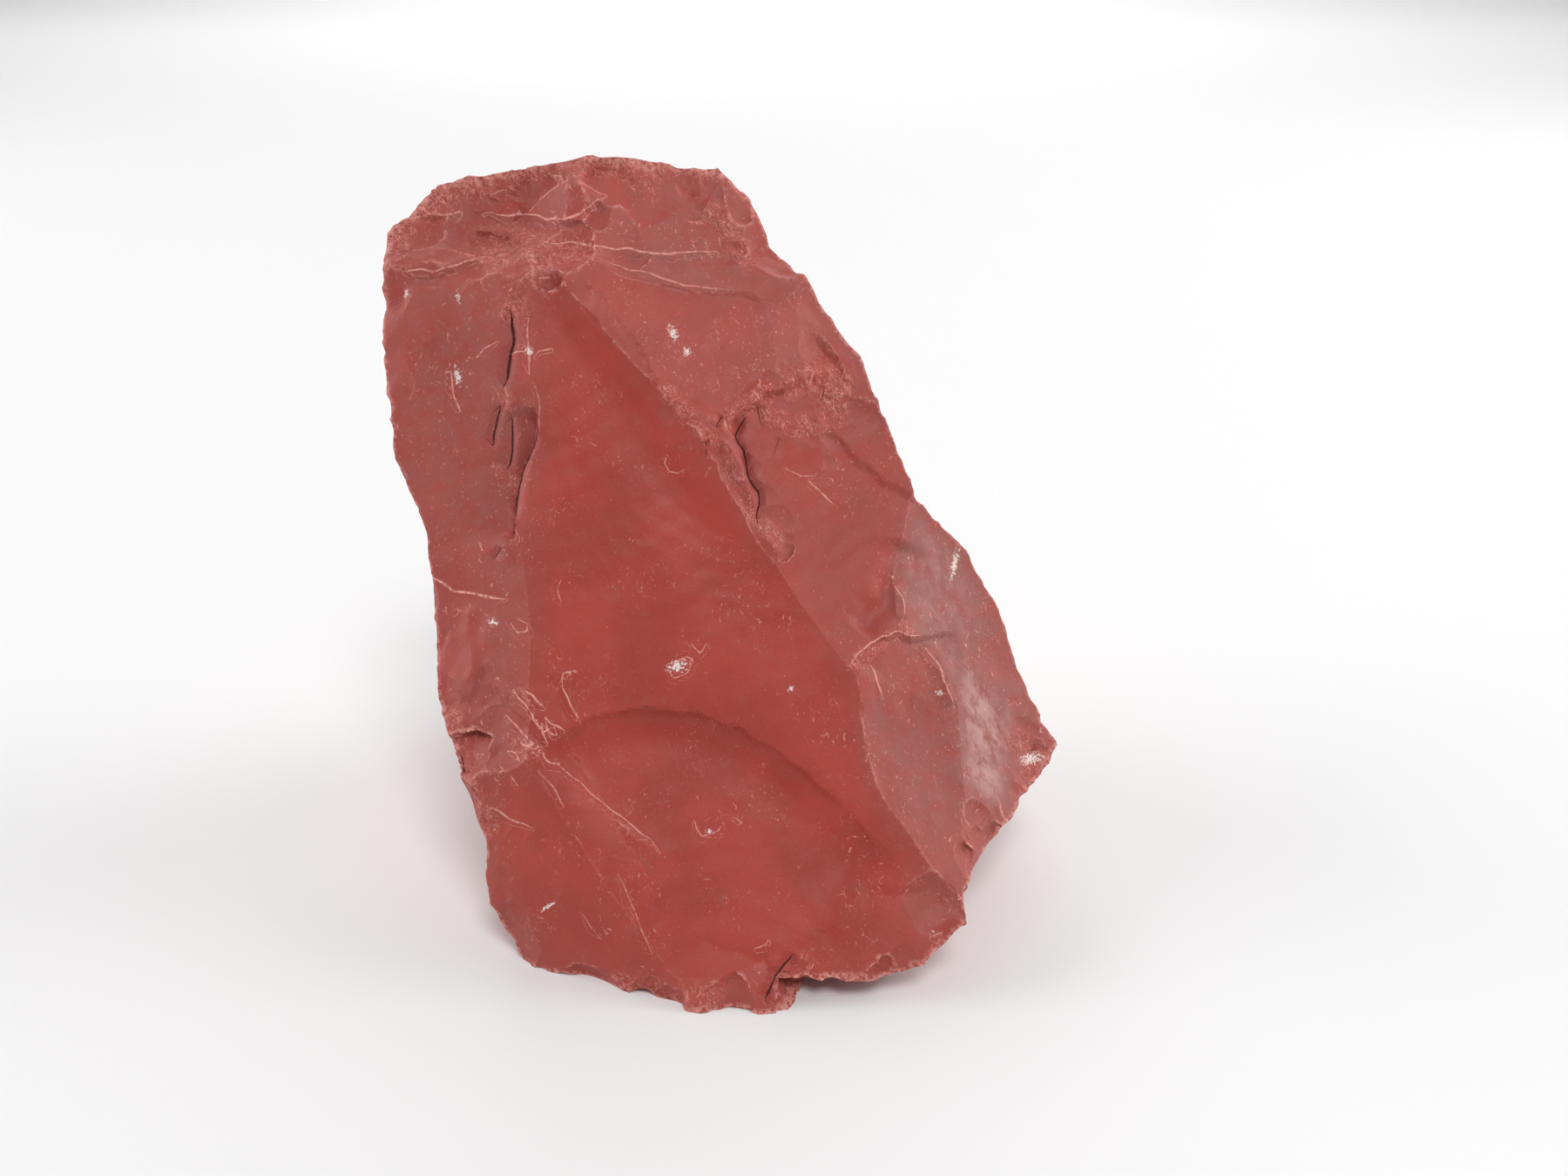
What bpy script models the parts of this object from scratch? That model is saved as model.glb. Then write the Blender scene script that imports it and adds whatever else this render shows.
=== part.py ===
"""Rough piece of red jasper, broken on every side and resting on a flat foot.

The stone is a block trimmed by flat breaks and hollowed by shell-shaped scars. Each break is placed
by points on its ridges. A point is given in millimetres as it is seen from the front: how far right,
how far up and how near it is, from a middle point above the foot.
"""
import math

import bmesh
import bpy
import numpy as np
from mathutils import Vector

NAME = "red_jasper"
MM = 0.001

# the solid block that the breaks are taken from, in millimetres
BLOCK = 130.0

# the middle of the resting face, which becomes the origin, in millimetres
REST_MIDDLE = (-8.0, 12.5)

# a ball gets finer steps the wider it is, as (least radius, steps)
BALL_STEPS = ((110.0, 5), (25.0, 4), (4.0, 3), (0.0, 2))

# how much of a wide ball is kept beyond the face it cuts, in millimetres
BALL_KEPT = 75.0

# edges that turn less than this stay smooth
SMOOTH_TURN = math.radians(9.5)

# corners closer than this become one, in metres
WELD = 0.00002

JASPER_RED = (0.30, 0.045, 0.035, 1.0)
JASPER_ROUGHNESS = 0.45

# the front view that the ridge points are given in
EYE_DISTANCE = 170.0
EYE_ELEVATION = math.radians(24.0)
MIDDLE_HEIGHT = 43.1

# a point well inside the stone
HEART = np.array([-4.0, 21.0, 29.0])

# how far the breaks along the outline turn away from the front view, in degrees
STEEP = 20.0
TURNED = 25.0
FALLING = 30.0


def unit(way):
    """The same direction with a length of one."""
    return way / np.linalg.norm(way)


def spot(right, up, near):
    """Turn a seen point into the stone's own space, in millimetres."""
    shrink = (EYE_DISTANCE - near) / EYE_DISTANCE
    rise = up * shrink
    sine = math.sin(EYE_ELEVATION)
    cosine = math.cos(EYE_ELEVATION)
    return np.array([right * shrink, rise * sine - near * cosine,
                     MIDDLE_HEIGHT + rise * cosine + near * sine])


EYE = spot(0.0, 0.0, EYE_DISTANCE)
EAST = np.array([1.0, 0.0, 0.0])
SKY = unit(spot(0.0, 1.0, 0.0) - spot(0.0, 0.0, 0.0))


class Flat:
    """A flat break: everything beyond it along its normal is gone."""

    def __init__(self, normal, point):
        self.normal = unit(np.asarray(normal, dtype=float))
        self.offset = float(self.normal @ point)

    def along(self, start, way):
        return (self.offset - self.normal @ start) / (self.normal @ way)


class Ball:
    """A shell-shaped scar: everything inside the ball is gone."""

    def __init__(self, normal, middle, half_width, depth):
        self.normal = unit(normal)
        self.radius = (half_width ** 2 + depth ** 2) / (2.0 * depth)
        self.centre = middle + self.normal * (self.radius - depth)

    def along(self, start, way):
        gap = start - self.centre
        half = gap @ way
        return -half + math.sqrt(max(half * half - gap @ gap + self.radius ** 2, 0.0))


def seen_on(face, right, up, lift=0.0):
    """The point of a face seen at a place in the front view, raised towards the eye."""
    way = unit(spot(right, up, 0.0) - EYE)
    return EYE + way * (face.along(EYE, way) - lift)


def through(first, second, third, depth=0.0):
    """A break through three ridge points, hollowed to a depth between them."""
    a = second - first
    b = third - first
    normal = np.cross(a, b)
    middle = first + (np.cross(normal, a) * (b @ b)
                      + np.cross(b, normal) * (a @ a)) / (2.0 * (normal @ normal))
    if normal @ (first - HEART) < 0.0:
        normal = -normal
    if depth == 0.0:
        return Flat(normal, first)
    return Ball(normal, middle, np.linalg.norm(middle - first), depth)


def edge_break(first, second, lean, depth=0.0, outward=None):
    """A break along an edge: lean 0 is edge-on to the eye and more turns it away."""
    middle = (first + second) / 2.0
    along = unit(second - first)
    sight = middle - EYE
    sight = unit(sight - along * (sight @ along))
    normal = np.cross(along, sight)
    if normal @ (middle - HEART if outward is None else outward) < 0.0:
        normal = -normal
    angle = math.radians(lean)
    normal = normal * math.cos(angle) + sight * math.sin(angle)
    if depth == 0.0:
        return Flat(normal, middle)
    return Ball(normal, middle, np.linalg.norm(second - first) / 2.0, depth)


def facing(face, point):
    """The way out of the stone at a point of a face."""
    if isinstance(face, Ball):
        return unit(face.centre - point)
    return face.normal


def chip(face, right, up, width, depth, tilt_right=0.0, tilt_up=0.0):
    """A small round scar on a face, tilted off the face's own direction."""
    middle = seen_on(face, right, up)
    return Ball(facing(face, middle) + EAST * tilt_right + SKY * tilt_up, middle, width / 2.0, depth)


def cleft(face, right_edge, left_edge, right_lean, left_lean, reach):
    """A narrow opening between two walls, as long as a ball around its middle reaches."""
    right_ends = [seen_on(face, right, up) for right, up in right_edge]
    left_ends = [seen_on(face, right, up) for right, up in left_edge]
    middle = (right_ends[0] + right_ends[1]) / 2.0
    return (Ball(facing(face, middle), middle, reach, reach),
            edge_break(*right_ends, right_lean, outward=-EAST),
            edge_break(*left_ends, left_lean, outward=EAST))


def hidden_break(normal, reach, half_width=0.0, depth=0.0):
    """A break on the far side, at a distance from the heart."""
    normal = unit(np.array(normal))
    middle = HEART + normal * reach
    if depth == 0.0:
        return Flat(normal, middle)
    return Ball(normal, middle, half_width, depth)



class Breaks(dict):
    """Every break by name, each a list of surfaces that all have to be passed."""

    def add(self, name, *surfaces):
        self[name] = list(surfaces)
        return surfaces[0]

    def on(self, name, right, up, lift=0.0):
        return seen_on(self[name][0], right, up, lift)


def front_breaks(cut):
    """The large breaks that face the front, each tied to its neighbours' ridges."""
    floor = through(spot(-27.5, 35.5, -3.2), spot(14.0, -22.5, -1.0), spot(-32.5, -15.5, -0.6), 1.6)
    apex = seen_on(floor, -24.5, 35.7, 0.9)
    knee = seen_on(floor, -10.0, 18.7, 2.3)
    fade = seen_on(floor, 2.5, 0.3, 0.3)
    inward = spot(-30.0, -20.0, 0.0) - spot(0.0, 0.0, 0.0)
    walls = (edge_break(apex, knee, -50.0, outward=inward), edge_break(knee, fade, -50.0, outward=inward))
    cut.add("main face", floor, *walls)
    cut.add("lower scar", through(cut.on("main face", -29.2, -19.3), cut.on("main face", -16.0, -13.8),
                                  cut.on("main face", 10.0, -28.2), 1.3), *walls)
    cut.add("right middle", through(cut.on("main face", -8.5, 17.0, 2.0), cut.on("main face", 7.5, -9.0),
                                    spot(14.0, 3.5, -8.0), 1.2))
    cut.add("upper face", through(apex, knee, cut.on("right middle", -0.7, 24.3), 0.5))
    cut.add("low right", through(cut.on("main face", 8.5, -10.3), cut.on("main face", 16.5, -31.5),
                                 spot(20.5, -17.5, -7.5), 1.0))
    cut.add("far low right", through(cut.on("low right", 20.0, -3.7), cut.on("low right", 20.8, -23.0),
                                     spot(26.5, -10.5, -15.0), 0.8))
    cut.add("far middle right", through(cut.on("right middle", 14.2, 8.5),
                                        cut.on("right middle", 13.0, -1.5),
                                        spot(22.0, 1.0, -15.0), 0.6))
    cut.add("shoulder", through(cut.on("upper face", -0.7, 33.0), cut.on("upper face", -0.5, 24.5),
                                spot(7.5, 29.0, -11.0), 0.5))


def left_breaks(cut):
    """The breaks left of the main face, from the top down."""
    cut.add("left face", through(cut.on("main face", -28.8, 34.5), cut.on("main face", -30.2, 3.5),
                                 spot(-46.0, 27.5, -8.5), 0.7))
    cut.add("low left", through(cut.on("main face", -30.2, -19.7), cut.on("main face", -30.0, 3.5),
                                spot(-40.0, -12.5, -6.5), 0.6))
    cut.add("low left corner", through(cut.on("lower scar", -29.4, -20.5), cut.on("lower scar", -12.0, -46.0),
                                       spot(-30.8, -41.7, -5.6), 0.3))


def crown_breaks(cut):
    """The breaks that fall back above the front."""
    cut.add("crown right", through(cut.on("upper face", -18.5, 37.5), cut.on("upper face", -2.0, 34.0),
                                   spot(-11.0, 47.0, -13.0), 0.6))
    cut.add("crown left", through(cut.on("left face", -30.0, 37.0), cut.on("left face", -45.0, 37.5),
                                  spot(-34.0, 47.5, -13.0), 0.6))


def outline_breaks(cut):
    """The breaks that turn away along the outline, clockwise from the left foot."""
    # name, face and place of one end, face and place of the other, lean, depth
    rim = (
        ("left foot edge", "low left corner", -30.8, -41.8, "low left corner", -34.0, -36.0, TURNED, 0.0),
        ("low left edge", "low left corner", -34.4, -34.5, "low left", -39.9, -12.5, STEEP, 0.0),
        ("left edge", "low left", -39.9, -12.5, "left face", -44.9, 15.0, STEEP, 0.0),
        ("upper left edge", "left face", -44.9, 15.0, "left face", -46.2, 29.0, STEEP, 0.0),
        ("top left edge", "left face", -46.2, 29.5, "crown left", -45.9, 41.3, STEEP, 0.3),
        ("crown edge 1", "crown left", -45.9, 41.3, "crown left", -40.0, 46.5, FALLING, 0.0),
        ("crown edge 2", "crown left", -40.0, 46.5, "crown left", -31.0, 49.5, FALLING, 0.0),
        ("crown edge 3", "crown left", -31.0, 49.5, "crown right", -21.0, 50.3, TURNED, 0.0),
        ("crown edge 4", "crown right", -21.0, 50.3, "crown right", -8.8, 49.4, TURNED, 0.0),
        ("crown edge 5", "crown right", -8.8, 49.4, "crown right", -3.2, 44.7, TURNED, 0.0),
        ("shoulder edge", "crown right", -3.2, 44.7, "shoulder", 6.8, 30.1, STEEP, 0.0),
        ("right edge", "shoulder", 8.5, 28.0, "far middle right", 23.2, 2.3, STEEP, 0.0),
        ("low right edge", "far middle right", 24.3, -0.5, "far low right", 31.6, -18.1, STEEP, 0.0),
        ("low right hollow", "far middle right", 24.7, -1.5, "far low right", 30.9, -17.1, 24.0, 0.9),
        ("tip edge 1", "far low right", 31.6, -18.1, "far low right", 30.3, -21.0, TURNED, 0.0),
        ("tip edge 2", "far low right", 30.3, -21.0, "far low right", 28.8, -25.7, TURNED, 0.0),
        ("right foot edge 1", "far low right", 28.8, -25.7, "main face", 21.2, -38.5, TURNED, 0.0),
        ("right foot edge 2", "main face", 21.2, -38.5, "main face", 19.0, -42.3, 5.0, 0.0),
    )
    for name, face, right, up, other, other_right, other_up, lean, depth in rim:
        cut.add(name, edge_break(cut.on(face, right, up), cut.on(other, other_right, other_up),
                                 lean, depth))
    cut.add("front foot edge", edge_break(cut.on("main face", 19.0, -42.3), spot(0.5, -48.6, 2.0), 10.0))
    cut.add("resting face", Flat((0.0, 0.0, -1.0), np.zeros(3)))


def outline_notches(cut):
    """The places where the outline steps in: two breaks that meet in a hollow corner."""
    # name, first face and place, corner face and place, last face and place, leans, depths
    notches = (
        ("left notch", "left face", -44.9, 15.0, "left face", -41.7, 6.8, "low left", -40.0, -11.5,
         STEEP, STEEP, 0.0),
        ("low left notch", "low left", -39.8, -13.0, "low left corner", -34.3, -29.3,
         "low left corner", -34.3, -34.5, TURNED, STEEP, 0.0),
        ("shoulder notch", "crown right", -3.2, 44.7, "crown right", -1.2, 39.5, "shoulder", 4.5, 32.8,
         STEEP, TURNED, 0.0),
        ("right notch", "far middle right", 22.2, 3.5, "right middle", 15.7, 10.2,
         "shoulder", 8.8, 27.3, TURNED, TURNED, 0.5),
        ("right foot notch", "low right", 25.5, -29.2, "low right", 20.7, -35.6,
         "main face", 21.2, -38.5, FALLING, TURNED, 0.0),
    )
    for name, a, ar, au, b, br, bu, c, cr, cu, lean, other_lean, depth in notches:
        corner = cut.on(b, br, bu)
        first = edge_break(cut.on(a, ar, au), corner, lean)
        last = edge_break(corner, cut.on(c, cr, cu), other_lean, depth)
        cut.add(name, last, first)
    foot_side = edge_break(spot(0.3, -48.8, 2.2), spot(4.2, -43.1, -5.5), -60.0, outward=EAST)
    cut.add("undercut", edge_break(spot(4.2, -43.8, -1.0), spot(18.8, -43.5, -2.5), TURNED), foot_side)


def hidden_breaks(cut):
    """The breaks on the far side, which the front never shows."""
    # name, direction, distance from the heart, half width, depth
    sides = (
        ("back", (0.10, 1.0, 0.05), 25.0, 0.0, 0.0),
        ("back left", (-0.75, 0.8, -0.05), 40.0, 0.0, 0.0),
        ("back right", (0.75, 0.75, 0.0), 33.0, 0.0, 0.0),
        ("crown back", (0.05, 0.75, 0.65), 54.0, 0.0, 0.0),
        ("high back scar", (-0.25, 0.9, 0.45), 31.5, 20.0, 2.2),
        ("low back scar", (0.3, 0.95, -0.4), 26.5, 17.0, 1.8),
        ("back left scar", (-0.95, 0.4, -0.25), 33.0, 15.0, 1.8),
        ("back right scar", (0.95, 0.45, -0.1), 31.5, 14.0, 1.6),
        ("back foot bevel", (-0.1, 0.75, -0.6), 35.5, 0.0, 0.0),
        ("left foot bevel", (-0.75, 0.3, -0.6), 41.0, 0.0, 0.0),
        ("right foot bevel", (0.75, 0.25, -0.65), 36.0, 0.0, 0.0),
    )
    for name, normal, reach, half_width, depth in sides:
        cut.add(name, hidden_break(normal, reach, half_width, depth))


def clefts(cut):
    """The two open cracks beside the main face."""
    cut.add("left cleft", *cleft(cut["left face"][0], ((-28.2, 19.5), (-30.9, 7.5)),
                                 ((-31.6, 20.0), (-32.4, 8.0)), -12.0, -62.0, 8.2))
    cut.add("right cleft", *cleft(cut["right middle"][0], ((-4.7, 18.5), (-2.9, 8.0)),
                                  ((-5.9, 18.0), (-4.3, 8.5)), -20.0, -50.0, 6.2))


def chips(cut):
    """The smaller scars along the ridges and edges."""
    # name, face, right, up, width, depth, tilt right, tilt up
    scars = (
        ("crown chip 1", "crown left", -40.8, 44.6, 3.4, 0.8, -0.2, 0.1),
        ("crown chip 2", "crown left", -39.6, 42.6, 6.0, 0.9, -0.1, 0.0),
        ("crown chip 3", "crown left", -34.5, 45.0, 9.0, 0.6, -0.1, 0.1),
        ("crown chip 4", "crown left", -27.5, 46.2, 5.5, 0.7, 0.1, 0.1),
        ("crown chip 5", "crown left", -25.3, 43.6, 8.5, 0.7, 0.3, 0.0),
        ("crown pit", "crown left", -33.2, 39.6, 3.6, 1.2, 0.0, -0.2),
        ("crown scar", "crown right", -14.5, 42.0, 17.0, 0.8, 0.0, 0.0),
        ("crown end scar", "crown right", -4.5, 45.2, 7.0, 0.8, 0.4, 0.0),
        ("crown back scar", "crown right", -19.5, 46.8, 8.0, 0.7, -0.1, 0.2),
        ("apex hollow", "main face", -27.0, 36.6, 4.5, 1.4, 0.0, -0.3),
        ("left hollow", "left face", -30.0, 33.7, 2.8, 0.9, 0.0, 0.0),
        ("left edge scar", "left face", -43.6, 33.5, 7.0, 0.6, -0.2, 0.0),
        ("low left scar", "low left", -37.0, -4.5, 12.0, 0.8, -0.1, 0.0),
        ("low left hole", "low left", -36.9, -20.3, 4.4, 1.2, -0.2, 0.0),
        ("low left pocket", "low left", -34.0, -15.8, 8.0, 0.8, 0.0, 0.0),
        ("corner scar", "low left corner", -36.2, -25.5, 6.5, 0.8, -0.2, 0.0),
        ("corner foot scar", "low left corner", -31.0, -39.5, 7.0, 0.8, -0.1, -0.2),
        ("front foot scar", "low left corner", -22.5, -44.2, 6.0, 0.7, 0.0, -0.3),
        ("crush 1", "right middle", -3.6, 22.6, 5.5, 0.9, 0.1, 0.2),
        ("crush 2", "right middle", 3.0, 21.8, 6.5, 1.0, 0.0, 0.1),
        ("crush 3", "right middle", -7.6, 20.0, 3.4, 0.7, 0.0, 0.0),
        ("round scar", "right middle", 2.5, 14.4, 6.0, 0.35, 0.0, 0.0),
        ("valley", "right middle", 11.5, -2.8, 7.0, 0.9, 0.1, -0.2),
        ("shoulder scar", "shoulder", 4.0, 27.0, 7.0, 0.7, 0.0, 0.0),
        ("ledge scar", "low right", 14.5, -8.0, 9.0, 0.8, -0.1, -0.2),
        ("tip scar", "far low right", 28.2, -19.0, 4.5, 0.8, 0.0, 0.0),
        ("tip foot scar", "far low right", 28.0, -24.4, 5.5, 1.0, 0.1, -0.2),
        ("dark facet", "far low right", 23.6, -28.2, 8.5, 0.9, 0.0, -0.3),
        ("foot side scar", "lower scar", 0.6, -46.0, 5.5, 0.9, 0.4, -0.1),
        ("lobe scar 1", "main face", 19.0, -40.8, 5.0, 0.8, 0.2, -0.2),
        ("lobe scar 2", "main face", 12.5, -44.4, 5.0, 0.7, 0.0, -0.3),
    )
    for name, face, right, up, width, depth, tilt_right, tilt_up in scars:
        cut.add(name, chip(cut[face][0], right, up, width, depth, tilt_right, tilt_up))


def all_breaks():
    """Every break of the stone, in the order in which each needs the ones before."""
    cut = Breaks()
    front_breaks(cut)
    left_breaks(cut)
    crown_breaks(cut)
    outline_breaks(cut)
    outline_notches(cut)
    hidden_breaks(cut)
    clefts(cut)
    chips(cut)
    return cut


def vector(values):
    return Vector([float(value) for value in values])


def keep_side(mesh, plane, outside):
    """Cut a closed mesh with a flat break and close it, keeping one side."""
    middle = vector(plane.normal * plane.offset)
    parts = mesh.verts[:] + mesh.edges[:] + mesh.faces[:]
    cut = bmesh.ops.bisect_plane(mesh, geom=parts, dist=1e-6, plane_co=middle,
                                 plane_no=vector(plane.normal), clear_outer=not outside,
                                 clear_inner=outside)
    rim = [item for item in cut["geom_cut"] if isinstance(item, bmesh.types.BMEdge)]
    if rim:
        bmesh.ops.contextual_create(mesh, geom=rim)


def block():
    """A closed block around the heart, in millimetres."""
    mesh = bmesh.new()
    bmesh.ops.create_cube(mesh, size=BLOCK)
    bmesh.ops.translate(mesh, verts=mesh.verts, vec=vector(HEART))
    return mesh


def ball_mesh(ball):
    """The part of a ball that can reach the stone, closed, in millimetres."""
    steps = next(count for least, count in BALL_STEPS if ball.radius >= least)
    mesh = bmesh.new()
    bmesh.ops.create_icosphere(mesh, subdivisions=steps, radius=ball.radius)
    bmesh.ops.translate(mesh, verts=mesh.verts, vec=vector(ball.centre))
    if ball.radius > BALL_KEPT:
        inward = ball.centre - ball.normal * (ball.radius - BALL_KEPT)
        keep_side(mesh, Flat(ball.normal, inward), False)
    return mesh


def to_object(mesh, name, collection):
    """Turn a mesh in millimetres into an object in metres with its origin at the foot."""
    bmesh.ops.translate(mesh, verts=mesh.verts, vec=(-REST_MIDDLE[0], -REST_MIDDLE[1], 0.0))
    bmesh.ops.scale(mesh, verts=mesh.verts, vec=(MM, MM, MM))
    bmesh.ops.recalc_face_normals(mesh, faces=mesh.faces)
    data = bpy.data.meshes.new(name)
    mesh.to_mesh(data)
    mesh.free()
    item = bpy.data.objects.new(name, data)
    collection.objects.link(item)
    return item


def cutter(name, surfaces, collection):
    """The closed body that one scar takes away."""
    first = surfaces[0]
    if isinstance(first, Ball):
        mesh = ball_mesh(first)
        flats = surfaces[1:]
    else:
        mesh = block()
        flats = surfaces
    for flat in flats:
        keep_side(mesh, flat, True)
    item = to_object(mesh, name, collection)
    item.hide_render = True
    item.display_type = "WIRE"
    return item


def trimmed_block(cut):
    """The block after every plain flat break."""
    mesh = block()
    for surfaces in cut.values():
        if len(surfaces) == 1 and isinstance(surfaces[0], Flat):
            keep_side(mesh, surfaces[0], False)
    return mesh


def take_away(stone, cutters):
    """Take every cutter from the stone in one step."""
    step = stone.modifiers.new("scars", "BOOLEAN")
    step.operation = "DIFFERENCE"
    step.solver = "EXACT"
    step.operand_type = "COLLECTION"
    step.collection = cutters
    bpy.context.view_layer.update()
    shaped = stone.evaluated_get(bpy.context.evaluated_depsgraph_get())
    data = bpy.data.meshes.new_from_object(shaped)
    stone.modifiers.clear()
    block_data = stone.data
    stone.data = data
    bpy.data.meshes.remove(block_data)


def finish(stone):
    """Weld the corners, keep ridges sharp and curved scars smooth."""
    mesh = bmesh.new()
    mesh.from_mesh(stone.data)
    bmesh.ops.remove_doubles(mesh, verts=mesh.verts, dist=WELD)
    bmesh.ops.dissolve_degenerate(mesh, edges=mesh.edges, dist=WELD)
    bmesh.ops.triangulate(mesh, faces=mesh.faces)
    bmesh.ops.recalc_face_normals(mesh, faces=mesh.faces)
    for face in mesh.faces:
        face.smooth = True
    for edge in mesh.edges:
        edge.smooth = edge.calc_face_angle(0.0) < SMOOTH_TURN
    mesh.to_mesh(stone.data)
    mesh.free()
    stone.data.name = NAME


def jasper():
    """Dense red stone with a dull, waxy gloss."""
    material = bpy.data.materials.new("red_jasper")
    material.use_nodes = True
    shader = material.node_tree.nodes["Principled BSDF"]
    shader.inputs["Base Color"].default_value = JASPER_RED
    shader.inputs["Roughness"].default_value = JASPER_ROUGHNESS
    shader.inputs["Metallic"].default_value = 0.0
    return material


def new_collection(name):
    collection = bpy.data.collections.new(name)
    bpy.context.scene.collection.children.link(collection)
    return collection


def main():
    for item in list(bpy.data.objects):
        bpy.data.objects.remove(item, do_unlink=True)
    parts = new_collection(NAME)
    cutters = new_collection("cutters")
    cut = all_breaks()
    stone = to_object(trimmed_block(cut), NAME, parts)
    for name, surfaces in cut.items():
        if len(surfaces) > 1 or isinstance(surfaces[0], Ball):
            cutter(name, surfaces, cutters)
    take_away(stone, cutters)
    finish(stone)
    stone.data.materials.clear()
    stone.data.materials.append(jasper())
    cutters.hide_render = True


main()
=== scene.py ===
# %% [markdown]
# # Rough red jasper
#
# This piece is one solid stone: dense red jasper, broken on every side. Jasper has no grain to split
# along, so a blow takes off a shell-shaped flake and leaves a shallow, smooth, hollow scar. Where two
# scars meet they leave a ridge, and where many small ones meet the stone looks crushed.
#
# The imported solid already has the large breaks. Here the same breaks are cut again on a much finer
# surface, and the small scars, ripples, cracks and scratches are added to it.

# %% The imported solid
import math

import bpy
import numpy as np
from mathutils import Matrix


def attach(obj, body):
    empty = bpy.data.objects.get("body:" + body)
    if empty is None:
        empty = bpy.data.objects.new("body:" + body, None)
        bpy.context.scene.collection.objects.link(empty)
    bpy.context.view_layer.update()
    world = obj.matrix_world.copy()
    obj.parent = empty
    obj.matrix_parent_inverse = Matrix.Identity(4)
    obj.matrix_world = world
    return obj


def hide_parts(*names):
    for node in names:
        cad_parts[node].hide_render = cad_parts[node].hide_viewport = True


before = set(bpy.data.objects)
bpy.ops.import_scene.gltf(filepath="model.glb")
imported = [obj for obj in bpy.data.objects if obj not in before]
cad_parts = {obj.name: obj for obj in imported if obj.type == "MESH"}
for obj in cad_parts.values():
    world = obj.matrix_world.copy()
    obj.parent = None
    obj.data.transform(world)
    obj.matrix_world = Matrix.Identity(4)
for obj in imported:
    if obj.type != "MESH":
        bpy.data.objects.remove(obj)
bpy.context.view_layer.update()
NODE = "red_jasper"

# %% [markdown]
# ## Places on the stone
#
# A place is given as it is seen from the front, in millimetres: how far right, how far up and how near
# it is, from a middle point above the foot. The eye is 170 mm away and looks down by 24 degrees. This
# lets a ridge be put where it is seen, while its depth comes from the face that carries it.

# %% The front view
MM = 0.001
EYE_DISTANCE = 170.0
EYE_ELEVATION = math.radians(24.0)
MIDDLE_HEIGHT = 43.1
REST_MIDDLE = np.array([-8.0, 12.5, 0.0])
HEART = np.array([-4.0, 21.0, 29.0])
FAR = 1.0e6


def unit(way):
    """The same direction with a length of one; works on one direction or on an array of them."""
    return way / np.linalg.norm(way, axis=-1, keepdims=True)


def spot(right, up, near):
    """A seen place in the stone's own space: right and up shrink as the place comes nearer."""
    shrink = (EYE_DISTANCE - near) / EYE_DISTANCE
    rise = up * shrink
    sine = math.sin(EYE_ELEVATION)
    cosine = math.cos(EYE_ELEVATION)
    return np.array([right * shrink, rise * sine - near * cosine,
                     MIDDLE_HEIGHT + rise * cosine + near * sine])


EYE = spot(0.0, 0.0, EYE_DISTANCE)
EAST = np.array([1.0, 0.0, 0.0])
SKY = unit(spot(0.0, 1.0, 0.0) - spot(0.0, 0.0, 0.0))
NEAR = unit(EYE - spot(0.0, 0.0, 0.0))


def seen(points):
    """The inverse of spot for an array: right and up of each point in the front view."""
    gap = points - EYE
    scale = EYE_DISTANCE / -(gap @ NEAR)
    return np.stack([gap @ EAST * scale, gap @ SKY * scale], axis=-1)


print("eye", EYE.round(1), "heart", HEART)

# %% [markdown]
# ## Kinds of break
#
# A break is either flat or hollow. A flat break is a plane and a hollow one is part of a ball, and
# both are simple enough to be worked out along any direction from the heart of the stone. A mesh cut
# with Boolean modifiers could make the same faces, but not this finely. The surface of the stone in
# one direction is the nearest of all the breaks met on the way out. That is the whole shape: a
# distance for every direction. Where the long ridge of the main face is worn round, the surfaces on
# its two sides are blended softly.

# %% Flat, hollow and blended breaks
TINY = 1e-6


class Flat:
    """A plane. Reach: the plane's distance from the heart divided by the cosine to its normal.

    Only the scars further down use the bent ways that every reach is given.
    """

    def __init__(self, normal, point):
        self.normal = unit(np.asarray(normal, dtype=float))
        self.offset = float(self.normal @ point)

    def along(self, start, way):
        return (self.offset - self.normal @ start) / (self.normal @ way)

    def reach(self, ways, bent=None):
        slope = ways @ self.normal
        return np.where(slope > TINY, (self.offset - self.normal @ HEART) / np.maximum(slope, TINY), FAR)


class Ball:
    """A ball that takes away its inside. Reach: the near root of the line's quadratic with the ball."""

    def __init__(self, normal, middle, half_width, depth):
        self.normal = unit(normal)
        self.radius = (half_width ** 2 + depth ** 2) / (2.0 * depth)
        self.centre = middle + self.normal * (self.radius - depth)

    def along(self, start, way):
        gap = start - self.centre
        half = gap @ way
        return -half + math.sqrt(max(half * half - gap @ gap + self.radius ** 2, 0.0))

    def reach(self, ways, bent=None):
        gap = HEART - self.centre
        half = ways @ gap
        inner = half * half - gap @ gap + self.radius ** 2
        near = -half - np.sqrt(np.maximum(inner, 0.0))
        return np.where((inner > 0.0) & (near > 0.0), near, FAR)


class Blend:
    """Surfaces that run into each other softly. Reach: the largest reach, plus a little near a tie.

    Where two reaches differ by less than the softness k, the larger one gains (k - difference)^2 / 4k.
    """

    def __init__(self, softness, *parts):
        self.softness = softness
        self.parts = parts
        self.along = parts[0].along

    def reach(self, ways, bent=None):
        total = self.parts[0].reach(ways)
        for part in self.parts[1:]:
            other = part.reach(ways)
            close = np.maximum(self.softness - np.abs(total - other), 0.0)
            total = np.maximum(total, other) + close * close / (4.0 * self.softness)
        return total


def seen_on(face, right, up, lift=0.0):
    """The point of a face seen at a place in the front view, raised towards the eye."""
    way = unit(spot(right, up, 0.0) - EYE)
    return EYE + way * (face.along(EYE, way) - lift)


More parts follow.
